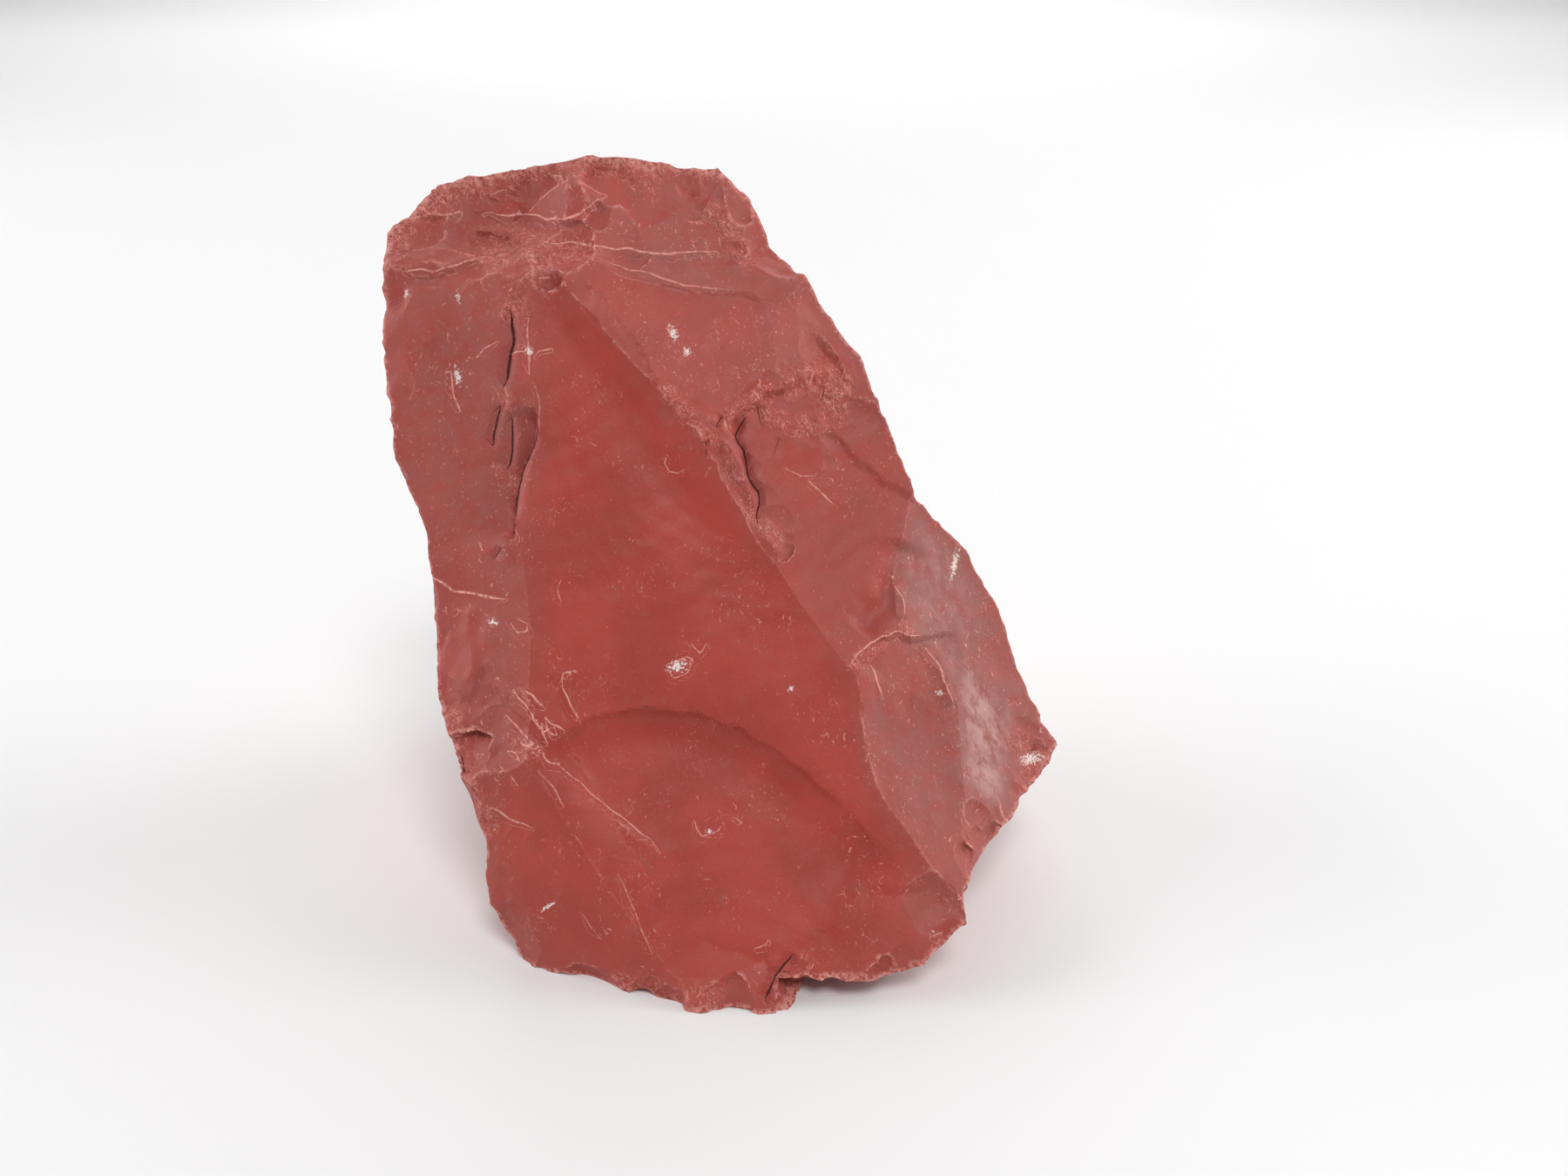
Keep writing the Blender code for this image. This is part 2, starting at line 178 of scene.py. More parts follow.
def through(first, second, third, depth=0.0):
    """A break through three ridge points, hollowed to a depth at the middle of their circle."""
    a = second - first
    b = third - first
    normal = np.cross(a, b)
    middle = first + (np.cross(normal, a) * (b @ b)
                      + np.cross(b, normal) * (a @ a)) / (2.0 * (normal @ normal))
    if normal @ (first - HEART) < 0.0:
        normal = -normal
    if depth == 0.0:
        return Flat(normal, first)
    return Ball(normal, middle, np.linalg.norm(middle - first), depth)


def edge_break(first, second, lean, depth=0.0, outward=None):
    """A break along an edge: lean 0 is edge-on to the eye and more turns it away."""
    middle = (first + second) / 2.0
    along = unit(second - first)
    sight = middle - EYE
    sight = unit(sight - along * (sight @ along))
    normal = np.cross(along, sight)
    if normal @ (middle - HEART if outward is None else outward) < 0.0:
        normal = -normal
    angle = math.radians(lean)
    normal = normal * math.cos(angle) + sight * math.sin(angle)
    if depth == 0.0:
        return Flat(normal, middle)
    return Ball(normal, middle, np.linalg.norm(second - first) / 2.0, depth)


def facing(face, point):
    """The way out of the stone at a point of a face."""
    if isinstance(face, Blend):
        face = face.parts[0]
    if isinstance(face, Ball):
        return unit(face.centre - point)
    return face.normal


def hidden_break(normal, reach, half_width=0.0, depth=0.0):
    """A break on the far side, at a distance from the heart."""
    normal = unit(np.array(normal))
    middle = HEART + normal * reach
    if depth == 0.0:
        return Flat(normal, middle)
    return Ball(normal, middle, half_width, depth)


class Breaks(dict):
    """Every break by name, each a list of surfaces that all have to be passed."""

    def add(self, name, *surfaces):
        self[name] = list(surfaces)
        return surfaces[0]

    def on(self, name, right, up, lift=0.0):
        return seen_on(self[name][0], right, up, lift)


# %% [markdown]
# ## The large faces
#
# Seen from the front the stone is a tall wedge. One smooth deep-red face runs from a point under the
# crown down to the foot, with a wide shell scar across its lower part. Smaller faces fall away to the
# left and right. Each face goes through three points, and points shared with a neighbour put the
# ridge between them in the right place.

# %% Faces that look to the front
cut = Breaks()
SOFTNESS = 1.7


def front_breaks():
    """The large breaks that face the front, each tied to its neighbours' ridges."""
    floor = through(spot(-27.5, 35.5, -3.2), spot(14.0, -22.5, -1.0), spot(-32.5, -15.5, -0.6), 1.6)
    apex = seen_on(floor, -24.5, 35.7, 0.9)
    knee = seen_on(floor, -10.0, 18.7, 2.3)
    fade = seen_on(floor, 2.5, 0.3, 0.3)
    inward = spot(-30.0, -20.0, 0.0) - spot(0.0, 0.0, 0.0)
    walls = (edge_break(apex, knee, -50.0, outward=inward), edge_break(knee, fade, -66.0, outward=inward))
    cut.add("main face", Blend(SOFTNESS, floor, *walls))
    scar = through(cut.on("main face", -29.2, -19.3), cut.on("main face", -16.0, -13.8),
                   cut.on("main face", 10.0, -28.2), 1.3)
    cut.add("lower scar", Blend(SOFTNESS, scar, *walls))
    cut.add("right middle", through(cut.on("main face", -8.5, 17.0, 2.0), cut.on("main face", 7.5, -9.0),
                                    spot(14.0, 3.5, -8.0), 1.2))
    cut.add("upper face", through(apex, knee, cut.on("right middle", -0.7, 24.3), 0.5))
    cut.add("low right", through(cut.on("main face", 8.5, -10.3), cut.on("main face", 16.5, -31.5),
                                 spot(20.5, -17.5, -7.5), 1.0))
    cut.add("far low right", through(cut.on("low right", 20.0, -3.7), cut.on("low right", 20.8, -23.0),
                                     spot(26.5, -10.5, -15.0), 0.8))
    cut.add("far middle right", through(cut.on("right middle", 14.2, 8.5),
                                        cut.on("right middle", 13.0, -1.5),
                                        spot(22.0, 1.0, -15.0), 0.6))
    cut.add("shoulder", through(cut.on("upper face", -0.7, 33.0), cut.on("upper face", -0.5, 24.5),
                                spot(7.5, 29.0, -11.0), 0.5))


def side_breaks():
    """The breaks left of the main face, and the two that fall back above it."""
    cut.add("left face", through(cut.on("main face", -28.8, 34.5), cut.on("main face", -30.2, 3.5),
                                 spot(-46.0, 27.5, -8.5), 0.7))
    cut.add("low left", through(cut.on("main face", -30.2, -19.7), cut.on("main face", -30.0, 3.5),
                                spot(-40.0, -12.5, -6.5), 0.6))
    cut.add("low left corner", through(cut.on("lower scar", -29.4, -20.5), cut.on("lower scar", -12.0, -46.0),
                                       spot(-30.8, -41.7, -5.6), 0.3))
    cut.add("crown right", through(cut.on("upper face", -18.5, 37.5), cut.on("upper face", -2.0, 34.0),
                                   spot(-11.0, 47.0, -13.0), 0.6))
    cut.add("crown left", through(cut.on("left face", -30.0, 37.0), cut.on("left face", -45.0, 37.5),
                                  spot(-34.0, 47.5, -13.0), 0.6))


front_breaks()
side_breaks()
print("large faces", len(cut))

# %% [markdown]
# ## The outline
#
# The outline is a chain of narrow breaks that turn away from the eye. Two of them meet in a hollow
# corner wherever the outline steps in. The back was never seen, so it gets plain breaks and a few
# wide scars that fit the rest of the stone.

# %% Outline, notches and back
STEEP = 20.0
TURNED = 25.0
FALLING = 30.0

# name, face and place of one end, face and place of the other, lean, depth
RIM = (
    ("left foot edge", "low left corner", -30.8, -41.8, "low left corner", -34.0, -36.0, TURNED, 0.0),
    ("low left edge", "low left corner", -34.4, -34.5, "low left", -39.9, -12.5, STEEP, 0.0),
    ("left edge", "low left", -39.9, -12.5, "left face", -44.9, 15.0, STEEP, 0.0),
    ("upper left edge", "left face", -44.9, 15.0, "left face", -46.2, 29.0, STEEP, 0.0),
    ("top left edge", "left face", -46.2, 29.5, "crown left", -45.9, 41.3, STEEP, 0.3),
    ("crown edge 1", "crown left", -45.9, 41.3, "crown left", -40.0, 46.5, FALLING, 0.0),
    ("crown edge 2", "crown left", -40.0, 46.5, "crown left", -31.0, 49.5, FALLING, 0.0),
    ("crown edge 3", "crown left", -31.0, 49.5, "crown right", -21.0, 50.3, TURNED, 0.0),
    ("crown edge 4", "crown right", -21.0, 50.3, "crown right", -8.8, 49.4, TURNED, 0.0),
    ("crown edge 5", "crown right", -8.8, 49.4, "crown right", -3.2, 44.7, TURNED, 0.0),
    ("shoulder edge", "crown right", -3.2, 44.7, "shoulder", 6.8, 30.1, STEEP, 0.0),
    ("right edge", "shoulder", 8.5, 28.0, "far middle right", 23.2, 2.3, STEEP, 0.0),
    ("low right edge", "far middle right", 24.3, -0.5, "far low right", 31.6, -18.1, STEEP, 0.0),
    ("low right hollow", "far middle right", 24.7, -1.5, "far low right", 30.9, -17.1, 24.0, 0.9),
    ("tip edge 1", "far low right", 31.6, -18.1, "far low right", 30.3, -21.0, TURNED, 0.0),
    ("tip edge 2", "far low right", 30.3, -21.0, "far low right", 28.8, -25.7, TURNED, 0.0),
    ("right foot edge 1", "far low right", 28.8, -25.7, "main face", 21.2, -38.5, TURNED, 0.0),
    ("right foot edge 2", "main face", 21.2, -38.5, "main face", 19.0, -42.3, 5.0, 0.0),
)

# name, first face and place, corner face and place, last face and place, leans, depth
NOTCHES = (
    ("left notch", "left face", -44.9, 15.0, "left face", -41.7, 6.8, "low left", -40.0, -11.5,
     STEEP, STEEP, 0.0),
    ("low left notch", "low left", -39.8, -13.0, "low left corner", -34.3, -29.3,
     "low left corner", -34.3, -34.5, TURNED, STEEP, 0.0),
    ("shoulder notch", "crown right", -3.2, 44.7, "crown right", -1.2, 39.5, "shoulder", 4.5, 32.8,
     STEEP, TURNED, 0.0),
    ("right notch", "far middle right", 22.2, 3.5, "right middle", 15.7, 10.2,
     "shoulder", 8.8, 27.3, TURNED, TURNED, 0.5),
    ("right foot notch", "low right", 25.5, -29.2, "low right", 20.7, -35.6,
     "main face", 21.2, -38.5, FALLING, TURNED, 0.0),
)

# name, direction, distance from the heart, half width, depth
HIDDEN = (
    ("back", (0.10, 1.0, 0.05), 25.0, 0.0, 0.0),
    ("back left", (-0.75, 0.8, -0.05), 40.0, 0.0, 0.0),
    ("back right", (0.75, 0.75, 0.0), 33.0, 0.0, 0.0),
    ("crown back", (0.05, 0.75, 0.65), 54.0, 0.0, 0.0),
    ("high back scar", (-0.25, 0.9, 0.45), 31.5, 20.0, 2.2),
    ("low back scar", (0.3, 0.95, -0.4), 26.5, 17.0, 1.8),
    ("back left scar", (-0.95, 0.4, -0.25), 33.0, 15.0, 1.8),
    ("back right scar", (0.95, 0.45, -0.1), 31.5, 14.0, 1.6),
    ("back foot bevel", (-0.1, 0.75, -0.6), 35.5, 0.0, 0.0),
    ("left foot bevel", (-0.75, 0.3, -0.6), 41.0, 0.0, 0.0),
    ("right foot bevel", (0.75, 0.25, -0.65), 36.0, 0.0, 0.0),
)


def outline_breaks():
    """The narrow breaks round the outline, then the resting face, the notches and the back."""
    for name, face, right, up, other, other_right, other_up, lean, depth in RIM:
        ends = cut.on(face, right, up), cut.on(other, other_right, other_up)
        cut.add(name, edge_break(*ends, lean, depth))
    cut.add("front foot edge", edge_break(cut.on("main face", 19.0, -42.3), spot(0.5, -48.6, 2.0), 10.0))
    cut.add("resting face", Flat((0.0, 0.0, -1.0), np.zeros(3)))
    for name, a, ar, au, b, br, bu, c, cr, cu, lean, other_lean, depth in NOTCHES:
        corner = cut.on(b, br, bu)
        cut.add(name, edge_break(corner, cut.on(c, cr, cu), other_lean, depth),
                edge_break(cut.on(a, ar, au), corner, lean))
    foot_side = edge_break(spot(0.3, -48.8, 2.2), spot(4.2, -43.1, -5.5), -60.0, outward=EAST)
    cut.add("undercut", edge_break(spot(4.2, -43.8, -1.0), spot(18.8, -43.5, -2.5), TURNED), foot_side)
    for name, normal, reach, half_width, depth in HIDDEN:
        cut.add(name, hidden_break(normal, reach, half_width, depth))


outline_breaks()
print("breaks with the outline", len(cut))

# %% [markdown]
# ## Named scars
#
# The larger chips along the ridges are balls too, placed on the face they were struck from and tilted,
# so that each leaves a slanting facet and not a cup. Their outlines must not be circles. So the depth
# of a scar under its face is looked up a little to the side of where it is used, by an amount that
# wanders, and that makes its outline wander.

# %% Scars
# face, right, up, width, depth, tilt right, tilt up
SCARS = (
    ("crown left", -40.6, 44.8, 3.6, 0.35, -0.25, -0.15),
    ("crown left", -39.6, 42.6, 6.0, 0.45, -0.20, -0.15),
    ("crown left", -34.5, 45.0, 9.0, 0.50, -0.10, 0.10),
    ("crown left", -33.5, 45.9, 2.6, 0.35, 0.10, -0.40),
    ("crown left", -31.2, 47.2, 2.8, 0.35, 0.10, -0.40),
    ("crown left", -28.4, 45.4, 6.5, 0.35, -0.35, -0.15),
    ("crown left", -24.8, 44.4, 8.0, 0.35, 0.15, -0.20),
    ("crown left", -43.2, 39.8, 6.0, 0.35, -0.35, 0.10),
    ("crown left", -38.0, 39.2, 7.0, 0.25, 0.05, 0.12),
    ("crown left", -27.0, 48.6, 6.0, 0.40, 0.00, 0.25),
    ("crown left", -36.5, 47.0, 5.0, 0.40, -0.20, 0.20),
    ("crown right", -14.5, 42.0, 17.0, 0.80, 0.00, 0.00),
    ("crown right", -20.0, 47.4, 7.5, 0.50, -0.10, 0.22),
    ("crown right", -13.0, 48.0, 6.0, 0.40, 0.05, 0.20),
    ("crown right", -5.5, 45.2, 7.0, 0.50, 0.35, 0.05),
    ("crown right", -3.6, 41.0, 6.5, 0.40, 0.30, -0.05),
    ("crown right", -21.5, 39.6, 5.5, 0.30, -0.10, -0.15),
    ("main face", -27.2, 37.2, 2.4, 0.30, -0.20, -0.50),
    ("left face", -29.9, 33.8, 2.4, 0.40, 0.00, -0.40),
    ("left face", -43.6, 33.5, 7.0, 0.45, -0.20, 0.00),
    ("left face", -44.0, 24.0, 6.0, 0.30, -0.25, 0.05),
    ("left face", -42.0, 10.5, 6.0, 0.35, -0.25, 0.00),
    ("low left", -37.0, -4.5, 12.0, 0.60, -0.12, 0.00),
    ("low left", -36.9, -20.3, 3.6, 0.70, -0.25, -0.10),
    ("low left", -34.0, -15.8, 7.0, 0.45, 0.10, -0.15),
    ("low left", -38.2, -12.0, 4.5, 0.40, -0.20, 0.15),
    ("low left corner", -36.2, -25.5, 6.5, 0.50, -0.25, 0.00),
    ("low left corner", -31.0, -39.5, 7.0, 0.50, -0.10, -0.20),
    ("low left corner", -22.5, -44.2, 6.0, 0.50, 0.00, -0.35),
    ("low left corner", -16.0, -46.4, 5.0, 0.45, 0.10, -0.35),
    ("upper face", -2.5, 35.4, 6.0, 0.40, 0.25, 0.10),
    ("right middle", 2.5, 14.5, 5.2, 0.13, 0.00, 0.00),
    ("shoulder", 4.0, 27.0, 7.0, 0.45, 0.15, 0.05),
    ("shoulder", 2.6, 31.2, 5.5, 0.35, 0.25, 0.05),
    ("shoulder", 7.6, 23.8, 5.0, 0.40, 0.20, 0.00),
    ("low right", 18.4, -20.0, 8.0, 0.25, -0.10, 0.00),
    ("far low right", 24.0, -10.0, 8.0, 0.35, 0.10, 0.12),
    ("far low right", 28.6, -19.2, 2.6, 0.30, 0.20, 0.00),
    ("far low right", 28.0, -24.4, 5.0, 0.60, 0.10, -0.25),
    ("far low right", 23.2, -29.0, 8.5, 0.70, 0.00, -0.35),
    ("lower scar", -6.0, -47.2, 5.0, 0.40, 0.00, -0.35),
    ("main face", 19.0, -40.8, 5.0, 0.60, 0.20, -0.20),
    ("main face", 12.5, -44.2, 5.0, 0.50, 0.00, -0.30),
    ("main face", 15.0, -36.5, 5.5, 0.30, 0.20, 0.00),
)


class Scar:
    """A ball's depth under the flat of its face, with the outline bent.

    Reach: the flat's reach, less the flat's reach minus the ball's reach along the bent way.
    """

    def __init__(self, outward, middle, width, depth, tilt):
        self.flat = Flat(outward, middle)
        self.ball = Ball(self.flat.normal + tilt, middle, width / 2.0, depth)
        self.middle = middle
        self.spread = width

    def reach(self, ways, bent):
        under = self.flat.reach(bent) - self.ball.reach(bent)
        return np.where(under > -2.0, self.flat.reach(ways) - under, FAR)


def named_scars():
    """The scars of the table, each on its own face."""
    scars = []
    for face, right, up, width, depth, tilt_right, tilt_up in SCARS:
        middle = seen_on(cut[face][0], right, up)
        tilt = EAST * tilt_right + SKY * tilt_up
        scars.append(Scar(facing(cut[face][0], middle), middle, width, depth, tilt))
    return scars


print("named scars", len(SCARS))

# %% [markdown]
# ## A grid of directions
#
# The stone is a distance for every direction, so it needs an even grid of directions. A globe's grid
# crowds at its poles. Six square grids on the sides of a cube, blown up into a ball, stay even on the
# ball, but not on the stone, whose crown and foot lie far from its heart. So a coarse grid is first
# evened out like a net of springs: a corner moves towards the neighbours that are farthest away, until
# the cells are about as large everywhere, and smaller at the front, where most of the detail is.

# %% Grid helpers
CELLS = 128
COARSE_CELLS = 32
ROUNDS = 300
STRETCH = np.array([1.0, 0.7, 1.3])
PUSH = np.array([0.0, -0.3, 0.15])
BACK_CELL = 2.8
CALM_CELL = 1.5


def cube_grid(cells):
    """Six square grids on a cube.

    Returns the places of the shared corners, the four corners of each cell, which shared corner each
    corner of the six grids is, and where each shared corner is first found in them.
    """
    step = np.arange(cells + 1)
    across, along = np.meshgrid(step, step, indexing="ij")
    places = []
    quads = []
    for axis in range(3):
        for side in (0, cells):
            place = np.zeros((cells + 1, cells + 1, 3), dtype=np.int64)
            first, second = ((axis + 1) % 3, (axis + 2) % 3) if side else ((axis + 2) % 3, (axis + 1) % 3)
            place[..., axis] = side
            place[..., first] = across
            place[..., second] = along
            number = np.arange((cells + 1) ** 2).reshape(cells + 1, cells + 1) + len(quads) * (cells + 1) ** 2
            places.append(place.reshape(-1, 3))
            quads.append(np.stack([number[:-1, :-1], number[1:, :-1], number[1:, 1:], number[:-1, 1:]],
                                  axis=-1).reshape(-1, 4))
    places = np.concatenate(places)
    key = (places[:, 0] * (cells + 1) + places[:, 1]) * (cells + 1) + places[:, 2]
    _, first, own = np.unique(key, return_index=True, return_inverse=True)
    own = own.reshape(-1)
    return places[first], own[np.concatenate(quads)], own, first


def grid_edges(quads):
    """Every edge of the grid once, as pairs of corners."""
    pairs = np.concatenate([quads[:, [0, 1]], quads[:, [1, 2]], quads[:, [2, 3]], quads[:, [3, 0]]])
    return np.unique(np.sort(pairs, axis=1), axis=0)


def cell_normals(points, quads):
    """The direction of each cell: the cross of its diagonals, not yet made one long."""
    return np.cross(points[quads[:, 2]] - points[quads[:, 0]], points[quads[:, 3]] - points[quads[:, 1]])


def gather(values, quads, count):
    """Sum a value of each cell onto its corners."""
    total = np.zeros((count, values.shape[1]))
    for corner in range(4):
        for axis in range(values.shape[1]):
            total[:, axis] += np.bincount(quads[:, corner], values[:, axis], count)
    return total


def around(values, quads):
    """Mean of the values of the cells round each corner, a cell's value being the mean of its corners."""
    count = len(values)
    share = gather(np.ones((len(quads), 1)), quads, count)
    return gather(values[quads].mean(axis=1), quads, count) / share


def toward_eye(points, normals):
    """Cosine between each corner's normal and the way to the eye."""
    return (unit(EYE - points) * normals).sum(axis=1)


def ease(value, low, high):
    """0 below low, 1 above high, and 3t^2 - 2t^3 in between."""
    part = np.clip((value - low) / (high - low), 0.0, 1.0)
    return part * part * (3.0 - 2.0 * part)


# %% Even directions


def plain_distance(ways):
    """The nearest break along each way, with no unevenness."""
    best = np.full(len(ways), FAR)
    for group in cut.values():
        best = np.minimum(best, np.max([surface.reach(ways) for surface in group], axis=0))
    return best


def wanted_size(points, quads):
    """Wanted cell size, 1 at the front: larger on the smooth main face and on the back."""
    normals = unit(gather(cell_normals(points, quads), quads, len(points)))
    hidden = 1.0 - ease(toward_eye(points, normals), -0.35, 0.15)
    gap = (seen(points) - np.array([-10.0, -4.0])) / np.array([13.0, 22.0])
    calm = np.exp(-(gap ** 4).sum(axis=1))
    return 1.0 + (BACK_CELL - 1.0) * hidden + (CALM_CELL - 1.0) * calm * (1.0 - hidden)


def even_ways():
    """Coarse directions, each pulled towards its neighbours in proportion to their distance."""
    places, quads, own, _ = cube_grid(COARSE_CELLS)
    ball = unit(np.tan((places * (2.0 / COARSE_CELLS) - 1.0) * (math.pi / 4.0)))
    ways = unit(ball * STRETCH + PUSH)
    here, there = grid_edges(quads).T
    count = len(ways)
    for _ in range(ROUNDS):
        points = HEART + ways * plain_distance(ways)[:, None]
        size = wanted_size(points, quads)
        pull = np.linalg.norm(points[here] - points[there], axis=1) / (size[here] + size[there])
        total = np.bincount(here, pull, count) + np.bincount(there, pull, count)
        mean = [np.bincount(here, pull * ways[there, axis], count)
                + np.bincount(there, pull * ways[here, axis], count) for axis in range(3)]
        ways = unit(0.5 * np.stack(mean, axis=-1) / total[:, None] + 0.5 * ways)
    return ways[own].reshape(6, COARSE_CELLS + 1, COARSE_CELLS + 1, 3)


def finer_ways(coarse):
    """Directions between the coarse ones: a straight blend along both sides of each cell."""
    place = np.arange(CELLS + 1) * (COARSE_CELLS / CELLS)
    low = np.minimum(place.astype(int), COARSE_CELLS - 1)
    part = (place - low)[:, None]
    rows = coarse[:, low] * (1.0 - part[:, None]) + coarse[:, low + 1] * part[:, None]
    return unit((rows[:, :, low] * (1.0 - part) + rows[:, :, low + 1] * part).reshape(-1, 3))


_, quads, _, first_place = cube_grid(CELLS)
ways = finer_ways(even_ways())[first_place]
print("directions", len(ways), "cells", len(quads))

# %% [markdown]
# ## Natural unevenness
#
# No break is a perfect ball. Smooth noise makes each face wander by about a tenth of a millimetre,
# which also makes the ridges wander, because a ridge is where two faces cross. A Displace modifier
# could do this too, but then the ridges would stay where they were. The noise is random values on a
# lattice, blended smoothly in between.

# %% Smooth noise
LATTICE_SIZE = 64
LATTICE = np.random.default_rng(7).uniform(-1.0, 1.0, (LATTICE_SIZE, LATTICE_SIZE, LATTICE_SIZE))
LAYER_SHIFT = 31.7
CORNERS = [(x, y, z) for x in (0, 1) for y in (0, 1) for z in (0, 1)]


def smooth_noise(points):
    """Random lattice values blended with 3t^2 - 2t^3 along each axis, from -1 to 1."""
    cell = np.floor(points).astype(np.int64)
    part = points - cell
    part = part * part * (3.0 - 2.0 * part)
    total = np.zeros(len(points))
    for corner in CORNERS:
        x, y, z = ((cell + corner) % LATTICE_SIZE).T
        share = np.abs(1 - np.array(corner) - part)
        total += LATTICE[x, y, z] * (share[:, 0] * share[:, 1] * share[:, 2])
    return total


def layered_noise(points, size, layers=3, fall=0.5):
    """Smooth noise of one size plus finer layers, each half the size and weaker by fall."""
    total = np.zeros(len(points))
    strength = 1.0
    for layer in range(layers):
        total += strength * smooth_noise(points * (2.0 ** layer / size) + LAYER_SHIFT * layer)
        strength *= fall
    return total


print("noise at the heart", layered_noise(HEART[None], 7.0).round(3))

# %% [markdown]
# ## Distance of the surface in every direction
#
# Every break is tried in every direction and the nearest one wins. The number of the winning surface
# is kept, because a change of number between two neighbours means that a ridge runs between them.

# %% The coarse stone
surfaces = [surface for group in cut.values() for surface in group]
WANDER = 0.11
WANDER_SIZE = 7.0
FACE_SHIFT = 13.37


def uneven(number, points):
    """How far a numbered surface wanders at some points."""
    shift = FACE_SHIFT * (number + 1)
    return WANDER * layered_noise(points + shift, WANDER_SIZE, 3, 0.42)


def surface_reach(number, ways, bent=None):
    """Distance of one numbered surface along some ways, with its own wander."""
    reach = surfaces[number].reach(ways, bent)
    hit = reach < FAR
    if number < NAMED and hit.any():
        reach[hit] += uneven(number, HEART + ways[hit] * reach[hit, None])
    return reach


NAMED = len(surfaces)


def outer_distance(ways):
    """The nearest break along each way, and the number of its surface."""
    best = np.full(len(ways), FAR)
    label = np.zeros(len(ways), dtype=np.int64)
    number = 0
    for group in cut.values():
        reach = surface_reach(number, ways)
        own = np.full(len(ways), number)
        for later in range(1, len(group)):
            other = surface_reach(number + later, ways)
            own = np.where(other > reach, number + later, own)
            reach = np.maximum(reach, other)
        label = np.where(reach < best, own, label)
        best = np.minimum(best, reach)
        number += len(group)
    return best, label


distance, label = outer_distance(ways)
print("surfaces", NAMED, "distance", distance.min().round(2), distance.max().round(2))

# %% [markdown]
# ## Finding the ridges
#
# Small flakes break off where the stone is sharp, so the ridges have to be known first. At a corner of
# the grid where the cells around it all look the same way, the mean of their directions is one long.
# On a ridge it is shorter, and the corner stands out from the middle of its neighbours.

# %% Ridges of the coarse stone


def ridge_measure(points, quads):
    """Normal at each corner, and how sharply the surface turns outwards there, from 0 to 1."""
    normal = cell_normals(points, quads)
    corner = unit(gather(normal, quads, len(points)))
    even = gather(unit(normal), quads, len(points)) / 4.0
    turn = 1.0 - np.linalg.norm(even, axis=1)
    outward = ((points - around(points, quads)) * corner).sum(axis=1)
    return corner, np.where(outward > 0.0, turn, 0.0)


def measured(ways, distance):
    """Corners in space, their normals, ridges and seen places, and how much each looks to the front."""
    points = HEART + ways * distance[:, None]
    normals, ridge = ridge_measure(points, quads)
    front = np.clip(toward_eye(points, normals) * 4.0, 0.0, 1.0)
    return points, normals, ridge, seen(points), front


points, normals, ridge, view, front = measured(ways, distance)
spacing = np.linalg.norm(view[quads[:, 2]] - view[quads[:, 0]], axis=1)[front[quads[:, 0]] > 0.9]
print("ridge corners", int((ridge > 0.01).sum()), "front cell diagonal", np.percentile(spacing, [5, 50, 95]))

# %% [markdown]
# ## Lines and zones seen from the front
#
# Cracks, steps, scratches and crushed places follow lines over the stone. A line is a row of places
# in the front view. What is needed from it is how far each point lies from it, on which side, and how
# far along, and that is worked out for all the points at once.

# %% Distance to a line


def line_measure(view, line):
    """Distance to a row of places, signed by side, and progress along it from 0 to 1."""
    line = np.asarray(line, dtype=float)
    away = np.full(len(view), FAR)
    side = np.ones(len(view))
    progress = np.zeros(len(view))
    lengths = np.linalg.norm(np.diff(line, axis=0), axis=1)
    reached = np.concatenate([[0.0], np.cumsum(lengths)]) / lengths.sum()
    for start, end, low, high in zip(line[:-1], line[1:], reached[:-1], reached[1:]):
        along = end - start
        gap = view - start
        part = np.clip(gap @ along / (along @ along), 0.0, 1.0)
        reach = np.linalg.norm(gap - part[:, None] * along, axis=1)
        nearer = reach < away
        away = np.where(nearer, reach, away)
        side = np.where(nearer, np.sign(along[0] * gap[:, 1] - along[1] * gap[:, 0]), side)
        progress = np.where(nearer, low + part * (high - low), progress)
    return away, side, progress


print("2 mm to the left of a line", line_measure(np.array([[1.0, 2.0]]), ((0.0, 0.0), (4.0, 0.0))))

# %% Crushed and flaked zones
# each crushed zone: half width and the line down its middle
CRUSHED = (
    (2.4, (-34.0, 39.2), (-31.0, 39.8), (-27.0, 39.3), (-23.0, 39.2)),
    (1.3, (-33.0, 37.6), (-29.0, 37.4), (-26.5, 36.8)),
    (1.3, (-31.2, 34.5), (-31.4, 31.5)),
    (0.9, (-32.2, 22.4), (-31.6, 20.8)),
    (0.8, (-33.2, 13.5), (-31.9, 12.3)),
    (1.1, (-13.5, 22.5), (-10.5, 18.9), (-7.6, 18.4), (-5.5, 20.2), (-2.5, 22.2), (1.5, 23.9), (5.0, 25.3)),
    (1.9, (1.0, 23.3), (4.5, 25.2), (6.2, 24.2), (6.0, 21.0)),
    (1.0, (-9.0, 17.6), (-6.6, 15.6), (-5.4, 12.6), (-3.2, 8.0), (-1.0, 5.5)),
    (1.4, (-1.5, 19.5), (1.5, 18.6), (5.5, 19.0)),
    (1.3, (-38.0, -15.0), (-37.0, -19.0), (-35.6, -24.0), (-34.0, -27.5)),
    (0.9, (-31.6, -17.5), (-30.3, -18.5), (-28.6, -19.5)),
    (1.7, (-45.0, 40.0), (-42.0, 43.2), (-38.5, 45.6), (-30.0, 48.2), (-21.0, 49.2), (-10.0, 48.4)),
    (1.7, (27.5, -17.8), (29.0, -20.5), (28.5, -25.0)),
    (0.9, (8.0, -8.5), (11.0, -6.8), (14.0, -4.8)),
    (1.3, (-19.0, -45.5), (-14.0, -46.3), (-8.0, -47.0)),
    (1.2, (-8.0, 43.5), (-6.0, 40.0), (-4.0, 37.5)),
)

